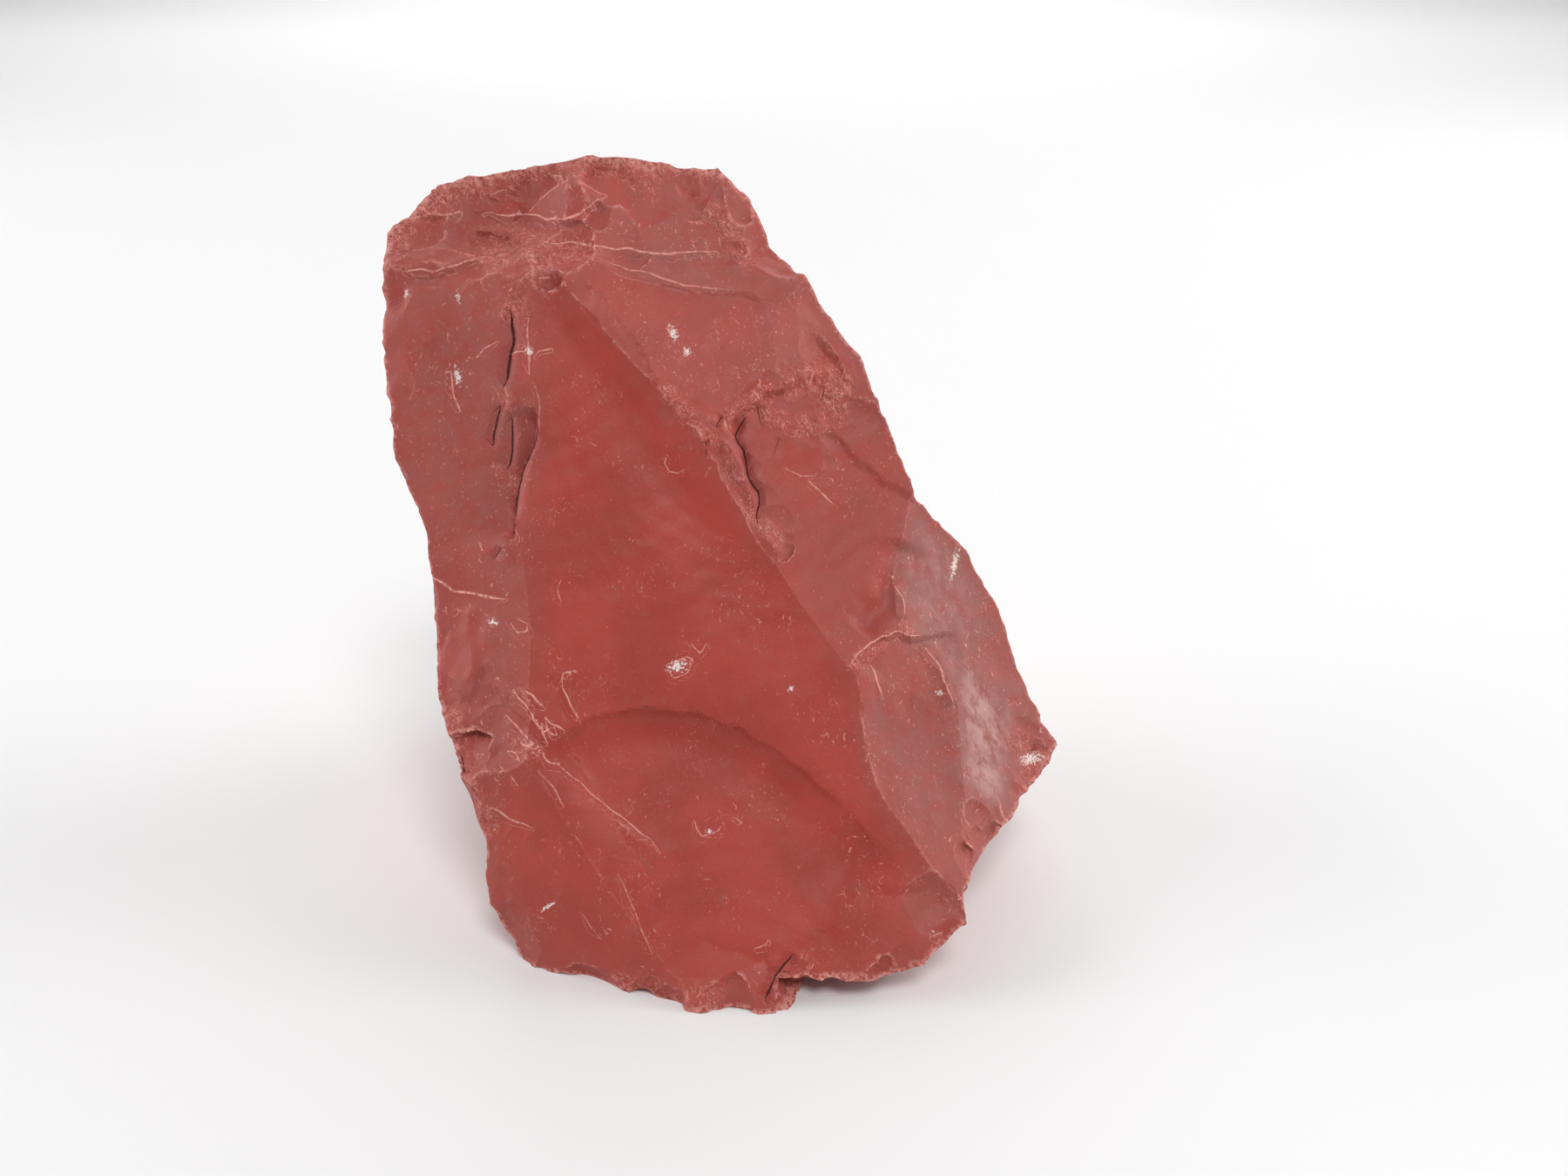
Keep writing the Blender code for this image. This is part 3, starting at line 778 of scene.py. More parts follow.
# where flake lies beside flake: half width and line
FLAKED = (
    (6.0, (-43.0, 40.5), (-37.0, 42.0), (-30.0, 43.5), (-25.0, 45.5)),
    (2.6, (-20.0, 48.4), (-12.0, 48.2), (-6.5, 45.0), (-4.0, 40.5)),
    (2.8, (0.5, 23.5), (5.0, 23.0), (6.0, 18.5)),
    (1.6, (-38.5, -14.5), (-36.2, -24.0), (-33.5, -32.0), (-30.0, -40.5)),
    (2.2, (28.5, -18.0), (28.5, -24.0), (24.0, -29.5)),
    (1.2, (-11.5, 19.5), (-7.0, 18.0), (-4.5, 13.0), (-1.5, 5.0)),
    (1.6, (-24.0, -45.5), (-14.0, -47.0), (-4.0, -48.0)),
    (1.6, (10.0, -43.0), (17.0, -41.0), (20.0, -37.0)),
)


def zone_weight(view, front, zones):
    """How strongly each point lies in any zone: 1 within 0.45 half widths, 0 beyond 1.35 of them."""
    total = np.zeros(len(view))
    for half_width, *line in zones:
        away, _, _ = line_measure(view, line)
        total = np.maximum(total, 1.0 - ease(away, 0.45 * half_width, 1.35 * half_width))
    return total * front


crushed = zone_weight(view, front, CRUSHED)
print("crushed corners", int((crushed > 0.5).sum()))

# %% [markdown]
# ## Flake scars by chance
#
# A sharp ridge of jasper never stays whole: small flakes break off along it. On the crown and round
# the foot flake lies beside flake, and there the scars overlap until little of the old face is left.
# More than a thousand small tilted balls are placed by chance: on the crown, in the flaked zones,
# along the ridges and on the outline. Each only changes the cells near it, so they are still quick.

# %% Flake scars
chance = np.random.default_rng(23)
BEND = 0.75
BEND_SIZE = 2.8
FINE_BEND = 0.12
FINE_BEND_SIZE = 1.3
BEND_SHIFTS = (11.0, 47.0, 83.0)
RIDGE_START = 0.01
FEW_LARGE = 2.2
MOST_TILT = 1.4
SELDOM = 1e-9
ALMOST_NEVER = 1e-12

# count, smallest and largest width, depth as a share of the width, tilt
CROWN_SCARS = (130, (2.4, 6.6), (0.060, 0.105), 0.19)
FLAKE_SCARS = (400, (0.9, 2.8), (0.035, 0.06), 0.18)
RIDGE_SCARS = (380, (0.7, 2.4), (0.03, 0.07), 0.18)
OUTLINE_SCARS = (260, (0.8, 2.6), (0.09, 0.16), 0.22)


def bent_ways(ways, distance):
    """The same ways pushed aside by two sizes of smooth noise, given in millimetres on the surface."""
    place = HEART + ways * distance[:, None]
    push = np.stack([BEND * smooth_noise(place / BEND_SIZE + shift)
                     + FINE_BEND * smooth_noise(place / FINE_BEND_SIZE + shift)
                     for shift in BEND_SHIFTS], axis=-1)
    return unit(ways + push / distance[:, None])


def chance_scars(where, count, widths, depth_share, tilt):
    """Scars at chance corners: width between two limits, depth a share of it, tilted a little."""
    picked = chance.choice(len(points), count, replace=False, p=where / where.sum())
    size = widths[0] + (widths[1] - widths[0]) * chance.uniform(0.0, 1.0, count) ** FEW_LARGE
    lean = np.clip(chance.normal(0.0, tilt, (count, 3)), -MOST_TILT * tilt, MOST_TILT * tilt)
    share = chance.uniform(depth_share[0], depth_share[1], count)
    return [Scar(normals[corner], points[corner], width, width * part, bend)
            for corner, width, bend, part in zip(picked, size, lean, share)]


def take_scars(scars, distance, label, bent):
    """Shorten the distance wherever a scar is met sooner, near that scar only."""
    for scar in scars:
        number = len(surfaces)
        surfaces.append(scar)
        toward = scar.middle - HEART
        gap = np.linalg.norm(toward)
        near = np.flatnonzero(ways @ (toward / gap) > math.cos(math.atan(1.6 * scar.spread / gap)))
        reach = scar.reach(ways[near], bent[near])
        less = reach < distance[near]
        distance[near[less]] = reach[less]
        label[near[less]] = number


bent = bent_ways(ways, distance)
take_scars(named_scars(), distance, label, bent)
points, normals, ridge, _, _ = measured(ways, distance)

# how likely a scar starts at each corner
facing_eye = toward_eye(points, normals)
crown = zone_weight(view, front, FLAKED[:2]) * (facing_eye > 0.4) + ALMOST_NEVER
flaked = zone_weight(view, front, FLAKED) * (facing_eye > 0.3) + ALMOST_NEVER
along_ridges = np.clip(ridge - RIDGE_START, 0.0, 0.10) * (0.5 + 0.8 * crushed) + SELDOM
on_outline = np.clip(ridge - RIDGE_START, 0.0, 0.2) * (np.abs(facing_eye) < 0.16) + ALMOST_NEVER
scars = chance_scars(crown, *CROWN_SCARS)
scars += chance_scars(flaked * (0.25 + crushed), *FLAKE_SCARS)
scars += chance_scars(along_ridges, *RIDGE_SCARS)
scars += chance_scars(on_outline, *OUTLINE_SCARS)
take_scars(scars, distance, label, bent)
print("chance scars", len(scars), "corners changed", int((label >= NAMED).sum()))

# %% [markdown]
# ## Crisp ridges
#
# The grid knows nothing about the ridges, so a ridge would come out as a row of saw teeth. Wherever
# two neighbours lie on different surfaces, the nearer one is slid along the grid to the very place
# where the two surfaces cross. Each cell is then split along the diagonal that follows the ridge.

# %% Slide corners onto the ridges
FARTHEST_GAP = 20.0
CLOSE_ENOUGH = 0.4


def labelled_reach(labels, ways, distance):
    """Distance along each way of the surface with the number given for it."""
    order = np.argsort(labels, kind="stable")
    bounds = np.flatnonzero(np.diff(labels[order])) + 1
    bent = bent_ways(ways, distance)
    reach = np.empty(len(ways))
    for part in np.split(order, bounds):
        reach[part] = surface_reach(labels[part[0]], ways[part], bent[part])
    return reach


def slide_to_ridges(ways, distance, label, quads):
    """Move each corner next to a ridge to the nearest crossing found on its own grid edges."""
    edges = grid_edges(quads)
    edges = edges[label[edges[:, 0]] != label[edges[:, 1]]]
    here, there = edges[:, 0], edges[:, 1]
    gap_here = labelled_reach(label[there], ways[here], distance[here]) - distance[here]
    gap_there = labelled_reach(label[here], ways[there], distance[there]) - distance[there]
    sound = (np.minimum(gap_here, gap_there) > 0.0) & (np.maximum(gap_here, gap_there) < FARTHEST_GAP)
    here, there, gap_here, gap_there = here[sound], there[sound], gap_here[sound], gap_there[sound]
    part = gap_here / (gap_here + gap_there)
    from_here = part < 0.5
    mover = np.where(from_here, here, there)
    other = np.where(from_here, there, here)
    share = np.where(from_here, part, 1.0 - part)
    order = np.lexsort((share, mover))
    mover, first = np.unique(mover[order], return_index=True)
    other, share = other[order][first], share[order][first]
    moved = ways.copy()
    moved[mover] = unit(ways[mover] * (1.0 - share[:, None]) + ways[other] * share[:, None])
    reach = distance.copy()
    first_reach = labelled_reach(label[mover], moved[mover], distance[mover])
    other_reach = labelled_reach(label[other], moved[mover], distance[mover])
    agree = np.abs(first_reach - other_reach) < CLOSE_ENOUGH
    moved[mover[~agree]] = ways[mover[~agree]]
    reach[mover[agree]] = (first_reach[agree] + other_reach[agree]) / 2.0
    on_ridge = np.zeros(len(ways), dtype=bool)
    on_ridge[mover[agree]] = True
    return moved, reach, on_ridge


ways, distance, on_ridge = slide_to_ridges(ways, distance, label, quads)
points, normals, ridge, view, front = measured(ways, distance)
crushed = zone_weight(view, front, CRUSHED)
print("corners on ridges", int(on_ridge.sum()))

# %% [markdown]
# ## Low relief
#
# The faces carry forms that are too soft or too fine to be breaks of their own. The blow that split
# off a flake leaves faint ripples around its starting point, a face swells or sinks a little, thin
# flakes end in steps, cracks run in from the ridges, and the crushed places are rough all over. They
# could be sculpted by hand. Here each is a small formula that moves a corner along its own normal,
# mostly by a fraction of a millimetre, and by up to 2 mm in the lens beside the left crack.

# %% Swells and ripples
# right, up, half width, half height, turn in degrees, height of the swell
SWELLS = (
    (-20.0, 22.0, 9.0, 16.0, 25.0, 0.25),
    (-14.0, 14.0, 3.2, 13.0, 32.0, -0.45),
    (-43.0, 29.0, 3.5, 8.0, -20.0, 0.35),
    (-36.0, 20.0, 2.4, 10.0, 5.0, -0.30),
    (-10.0, 30.0, 8.0, 5.0, 0.0, 0.30),
    (6.0, 4.0, 5.0, 9.0, 20.0, -0.35),
    (13.0, -20.0, 4.0, 10.0, 10.0, 0.25),
    (-16.0, -24.0, 8.0, 7.0, -10.0, -0.30),
    (4.0, -34.0, 8.0, 6.0, 20.0, -0.25),
    (-24.0, -33.0, 6.0, 7.0, 0.0, 0.20),
)

# starting point, wavelength, height, how far the ripples carry
RIPPLES = (
    (-34.0, 44.0, 3.3, 0.050, 60.0),
    (-6.0, -52.0, 3.0, 0.028, 34.0),
    (-52.0, 40.0, 3.0, 0.035, 34.0),
    (-14.0, 52.0, 2.6, 0.040, 22.0),
    (-2.0, 22.0, 2.4, 0.040, 26.0),
)

print("swells", len(SWELLS), "ripples", len(RIPPLES))

# %% Lines that are used both for relief and for colour
ARC = ((-29.5, -19.5), (-26.0, -16.8), (-22.0, -14.7), (-16.0, -13.7), (-10.0, -14.3), (-5.0, -16.0),
       (-1.0, -18.5), (3.0, -21.5), (6.5, -24.7), (10.0, -28.5), (14.0, -32.5))
CROWN_LEDGE = ((-34.8, 43.3), (-31.0, 43.2), (-28.3, 42.7), (-25.3, 42.2), (-22.5, 43.7), (-20.3, 45.3))
CREST_LEFT = ((-24.8, 47.5), (-27.0, 45.4), (-29.7, 42.8))
CREST_RIGHT = ((-24.8, 47.5), (-22.3, 46.4), (-20.3, 45.3))
UPPER_LEDGE = ((-34.7, 44.8), (-32.0, 46.0), (-29.8, 47.4))
LEFT_LEDGE = ((-42.3, 43.0), (-40.0, 43.0), (-36.5, 43.2))
RIGHT_LEDGE = ((7.5, -9.2), (8.4, -7.8), (10.0, -6.2), (12.7, -5.2), (15.7, -5.5), (20.0, -4.4))
FOOT_LINE = ((-19.0, -32.5), (-16.5, -38.5), (-15.0, -42.5))
LENS_RIM = ((-27.9, 21.0), (-28.2, 18.5), (-28.9, 16.2), (-30.0, 13.8), (-30.7, 11.9), (-30.9, 9.8),
            (-30.9, 7.6), (-30.5, 5.0))
print("places on the rim of the lower scar", len(ARC), "and of the lens", len(LENS_RIM))

# %% Folds, steps and cracks
# kind, height, half width, and the places of the line; a step lowers the side right of its travel
FOLDS = (
    ("hollow", -1.25, 1.25, *ARC),
    ("hollow", -0.9, 3.4, *ARC),
    ("step", -3.2, 2.0, *LENS_RIM),
    ("fold", 0.35, 0.8, (-32.0, 26.0), (-31.0, 22.5), (-30.8, 18.0), (-31.6, 13.5), (-32.0, 8.0),
     (-31.8, 2.0)),
    ("sag", -0.60, 2.0, (-25.5, 38.0), (-21.0, 33.5), (-17.0, 28.0), (-15.0, 24.5), (-12.5, 20.5),
     (-10.5, 18.0)),
    ("fold", 0.35, 1.6, (-46.0, 30.5), (-43.0, 29.6), (-40.0, 28.0)),
    ("fold", -1.0, 1.7, (14.0, 5.5), (13.0, 2.5), (11.5, -1.5), (8.5, -5.0)),
    ("fold", 0.40, 0.7, (12.7, 0.7), (13.6, -1.0), (13.5, -3.5)),
    ("step", -1.0, 2.2, *RIGHT_LEDGE),
    ("fold", 0.60, 0.7, (16.2, -6.3), (17.5, -8.0), (18.5, -11.0), (19.2, -13.7)),
    ("step", -0.8, 1.1, (17.0, -6.3), (18.4, -8.6), (19.2, -11.0)),
    ("step", -0.6, 1.9, (5.0, 19.2), (7.5, 16.5), (10.0, 13.8), (12.0, 12.3), (16.5, 10.0)),
    ("step", -0.9, 2.0, (-7.3, 18.2), (-5.3, 20.0), (-3.3, 21.7), (1.0, 23.6), (5.5, 25.3)),
    ("fold", 0.40, 0.8, (-12.3, 21.2), (-7.3, 18.6), (-3.3, 22.1), (1.0, 24.0), (5.5, 25.7)),
    ("fold", -0.5, 1.0, (-8.6, 16.8), (-6.0, 12.8), (-3.2, 8.2), (-1.5, 6.0)),
    ("fold", 0.5, 0.8, (-7.0, 17.2), (-5.8, 14.6), (-4.0, 11.2), (-2.4, 6.4), (0.0, 3.0)),
    ("step", -0.60, 2.4, (-24.3, 40.0), (-20.3, 39.2), (-17.0, 38.7), (-13.3, 38.5), (-7.3, 38.5),
     (-2.0, 39.4)),
    ("step", -0.50, 2.2, (-20.7, 38.0), (-18.0, 36.8), (-11.3, 34.8), (-5.7, 34.2), (-1.0, 33.6)),
    ("step", -1.1, 2.0, *CROWN_LEDGE),
    ("step", -1.4, 2.5, *CREST_LEFT),
    ("step", 0.50, 1.8, *CREST_RIGHT),
    ("step", -1.1, 1.3, *UPPER_LEDGE),
    ("step", -0.7, 1.2, (-34.3, 43.9), (-31.5, 45.2), (-29.6, 46.4)),
    ("step", -1.2, 1.5, (-42.2, 44.2), (-40.4, 44.9), (-38.6, 45.2)),
    ("step", -0.7, 1.6, *LEFT_LEDGE),
    ("step", -0.6, 2.0, (-40.0, 41.5), (-36.0, 43.0), (-34.0, 44.0)),
    ("step", -1.5, 1.6, (-36.5, 40.6), (-34.0, 41.3), (-31.3, 40.9), (-29.8, 39.8)),
    ("step", -0.9, 1.5, (-43.5, 36.4), (-40.3, 36.1), (-37.0, 37.5), (-34.3, 38.2)),
    ("step", -1.3, 1.6, (-23.0, 49.2), (-19.5, 48.8), (-18.3, 49.4)),
    ("step", -0.6, 2.2, (-10.3, 46.5), (-8.5, 43.5), (-6.5, 41.0), (-4.0, 39.0)),
    ("step", -0.5, 1.6, (-15.7, 49.2), (-9.7, 47.9), (-5.3, 44.5)),
    ("step", -0.4, 1.5, (-18.7, 44.5), (-15.3, 44.3), (-11.7, 47.8)),
    ("step", -0.5, 1.5, (-30.0, 48.5), (-27.0, 48.9), (-24.5, 47.8)),
    ("fold", -0.5, 1.6, (-22.6, 49.5), (-22.8, 44.0), (-23.0, 38.0)),
    ("step", -0.7, 1.6, (-2.0, -41.5), (-0.5, -44.0), (1.0, -42.0)),
    ("step", -0.35, 2.0, (9.0, -33.5), (12.5, -34.5), (16.0, -34.0), (19.0, -32.5)),
    ("step", -0.30, 1.6, (-10.0, -40.0), (-4.0, -41.5), (2.0, -40.5), (6.0, -38.0)),
    ("step", -0.60, 1.6, (-34.5, -10.5), (-33.0, -11.8), (-29.0, -15.8), (-26.5, -18.2)),
    ("step", -0.45, 1.0, (-31.2, -12.0), (-29.5, -13.6), (-27.6, -15.4)),
    ("step", -0.40, 0.9, (-30.0, -11.6), (-28.6, -12.4), (-27.6, -13.8)),
    ("step", -0.30, 0.9, (-29.0, -14.2), (-27.8, -16.4), (-26.8, -17.8)),
    ("step", -0.30, 0.9, (-27.6, -14.6), (-26.4, -15.8), (-25.4, -16.6)),
    ("step", -0.25, 1.0, (-25.2, -10.2), (-25.2, -12.4), (-24.0, -15.2)),
    ("step", -0.35, 1.2, (-34.0, -25.2), (-31.5, -26.4), (-29.0, -27.8)),
    ("step", -0.40, 1.4, (-39.5, -8.0), (-37.6, -11.5), (-35.5, -12.8), (-33.0, -11.2)),
    ("fold", 0.30, 1.0, (-38.5, -14.0), (-36.5, -17.0), (-33.0, -19.0)),
    ("step", 0.18, 1.4, *FOOT_LINE),
    ("step", 0.14, 1.4, (-28.0, -18.7), (-26.0, -20.2), (-21.0, -24.5), (-16.0, -28.5), (-13.5, -31.0)),
    ("step", -0.5, 1.5, (-38.0, -4.7), (-39.5, -9.5)),
    ("step", -0.5, 2.0, (-40.0, -13.0), (-36.5, -12.5), (-34.5, -8.5)),
    ("fold", 0.3, 0.8, (-36.0, -2.0), (-35.8, -11.0)),
    ("step", -0.5, 1.4, (24.5, -23.7), (25.5, -28.0)),
)

# half width, depth, and the places of each crack
CRACKS = (
    (0.22, 0.6, (-31.2, 32.0), (-31.3, 28.0), (-31.7, 25.5), (-32.2, 22.8)),
    (0.15, 0.4, (-32.7, 21.0), (-33.2, 18.5), (-33.8, 16.2)),
    (0.13, 0.4, (-31.3, 20.2), (-31.6, 17.5), (-32.0, 15.5), (-32.3, 13.7)),
    (0.12, 0.3, (-32.7, 4.7), (-33.4, 3.3)),
    (0.20, 0.5, *LENS_RIM[1:-1]),
    (0.17, 0.6, (-4.2, 19.8), (-5.2, 17.9), (-5.0, 16.5), (-4.5, 14.8), (-3.7, 12.3), (-3.0, 11.2),
     (-2.8, 9.8), (-2.8, 7.0)),
    (0.08, 0.3, (-2.8, 21.0), (-2.5, 18.6)),
    (0.07, 0.2, (-0.6, 17.3), (-1.2, 15.0)),
    (0.11, 0.3, (-8.9, 16.7), (-9.3, 15.0)),
    (0.11, 0.3, (-7.1, 19.7), (-7.8, 18.3)),
    (0.07, 0.2, (7.8, 23.7), (7.9, 21.2)),
    (0.09, 0.3, (4.9, 23.4), (4.6, 21.6)),
    (0.16, 0.5, (-2.3, -47.5), (-0.5, -44.0), (1.0, -42.0)),
    (0.13, 0.5, (-37.2, -19.4), (-37.0, -21.6)),
    (0.10, 0.3, (28.0, -18.6), (28.9, -18.4)),
)

print("folds", len(FOLDS), "cracks", len(CRACKS))

# %% Formulas of the relief
STEP_RISE = 0.9
CRACK_FLANK = 0.55


def turned_axes(view, right, up, turn):
    """Distances of each point from a place, across and along axes turned by some degrees."""
    angle = math.radians(turn)
    gap = view - np.array([right, up])
    return (gap[:, 0] * math.cos(angle) + gap[:, 1] * math.sin(angle),
            -gap[:, 0] * math.sin(angle) + gap[:, 1] * math.cos(angle))


def swell(view, right, up, half_width, half_height, turn, height):
    """A soft rise: height x exp(-(x/half width)^2 - (y/half height)^2) in turned axes."""
    across, along = turned_axes(view, right, up, turn)
    return height * np.exp(-(across / half_width) ** 2 - (along / half_height) ** 2)


def ripple(view, points, right, up, wavelength, height, carry):
    """Rings round a starting point: a sine of the distance, bent by noise, fading as it goes."""
    away = np.linalg.norm(view - np.array([right, up]), axis=1)
    bent = away + 1.6 * layered_noise(points, 9.0, 2)
    patch = 0.5 + 0.5 * smooth_noise(points / 8.0 + 90.0)
    return height * patch * np.sin(bent * (2.0 * math.pi / wavelength)) * np.exp(-(away / carry) ** 2)


def fold(view, kind, height, half_width, *line):
    """Relief along a line, from the distance d to it and the side.

    A fold is height x exp(-(d/half width)^2). A step rises over 0.9 mm on one side only and dies away
    as exp(-d/half width). A hollow sinks inside a rim and comes back slowly. A sag is a fold that lies
    beside the line, one half width and a little from it.
    """
    line = np.asarray(line)
    rise = np.zeros(len(view))
    reach = half_width * 6.0
    near = np.flatnonzero(((view > line.min(axis=0) - reach) & (view < line.max(axis=0) + reach)).all(axis=1))
    away, side, progress = line_measure(view[near], line)
    ends = ease(progress, 0.0, 0.12) * (1.0 - ease(progress, 0.88, 1.0))
    inside = side < 0.0
    if kind == "fold":
        shape = np.exp(-(away / half_width) ** 2)
    elif kind == "step":
        shape = inside * ease(away, 0.0, STEP_RISE) * np.exp(-away / half_width)
    elif kind == "hollow":
        shape = inside * (1.0 - np.exp(-away / half_width)) * np.exp(-(away / (5.0 * half_width)) ** 2)
    else:
        shape = inside * np.exp(-((away - 1.15 * half_width) / (0.85 * half_width)) ** 2)
    rise[near] = height * shape * ends
    return rise


def low_relief(points, view, wavy, front, crushed, frost_and_sheen):
    """All the soft and fine forms together, in millimetres along the normal."""
    rise = np.zeros(len(points))
    for form in SWELLS:
        rise += swell(view, *form)
    for form in RIPPLES:
        rise += ripple(view, points, *form)
    for form in FOLDS:
        rise += fold(wavy, *form)
    for _, depth, *line in CRACKS:
        rise += fold(wavy, "fold", -depth, CRACK_FLANK, *line)
    rise *= front
    fibre = np.abs(layered_noise(points * np.array([1.0, 1.0, 0.6]) + 50.0, 1.5, 2, 0.55))
    rise += crushed * (0.02 - 0.06 * fibre)
    rise += (0.006 + 0.010 * frost_and_sheen) * layered_noise(points + 77.0, 1.5, 3, 0.6)
    return rise


# %% Frost with painted sheen, and tone
FROST_AND_SHEEN_ROUNDS = 60
PLAIN_FROST_AND_SHEEN = 0.35

# how frosted each large face is, which makes it duller and paler, and how much painted sheen it carries as a
# paler, greyer colour
FROST_AND_SHEEN = {"main face": 0.0, "lower scar": 0.0, "low left corner": 0.05, "left face": 0.65, "low left": 0.55,
         "upper face": 0.2, "right middle": 0.35, "low right": 0.5, "far low right": 1.4,
         "far middle right": 1.1, "shoulder": 0.45, "crown left": 0.85, "crown right": 1.0}


def frost_and_sheen_field(label):
    """Frost and painted sheen of the face under each corner, evened out over its neighbours."""
    level = np.full(len(surfaces), PLAIN_FROST_AND_SHEEN)
    number = 0
    for name, group in cut.items():
        level[number:number + len(group)] = FROST_AND_SHEEN.get(name, PLAIN_FROST_AND_SHEEN)
        number += len(group)
    level[NAMED:] = chance.uniform(0.2, 0.9, len(surfaces) - NAMED)
    value = level[label][:, None]
    for _ in range(FROST_AND_SHEEN_ROUNDS):
        value = around(value, quads)
    return value[:, 0]


tones = chance.uniform(-1.0, 1.0, len(surfaces))
tones[:NAMED] = 0.0
tone = tones[label]
frost_and_sheen = frost_and_sheen_field(label)
print("frost_and_sheen", frost_and_sheen.min().round(2), frost_and_sheen.max().round(2))

# %% All the relief on the stone
WAVE = 0.3
WAVE_SIZE = 1.7
wavy = view + WAVE * np.stack([smooth_noise(points / WAVE_SIZE), smooth_noise(points / WAVE_SIZE + 40.0)],
                              axis=-1)
points = points + normals * low_relief(points, view, wavy, front, crushed, frost_and_sheen)[:, None]
points[:, 2] = np.maximum(points[:, 2], 0.0)
print("relief done", points.min(axis=0).round(2), points.max(axis=0).round(2))
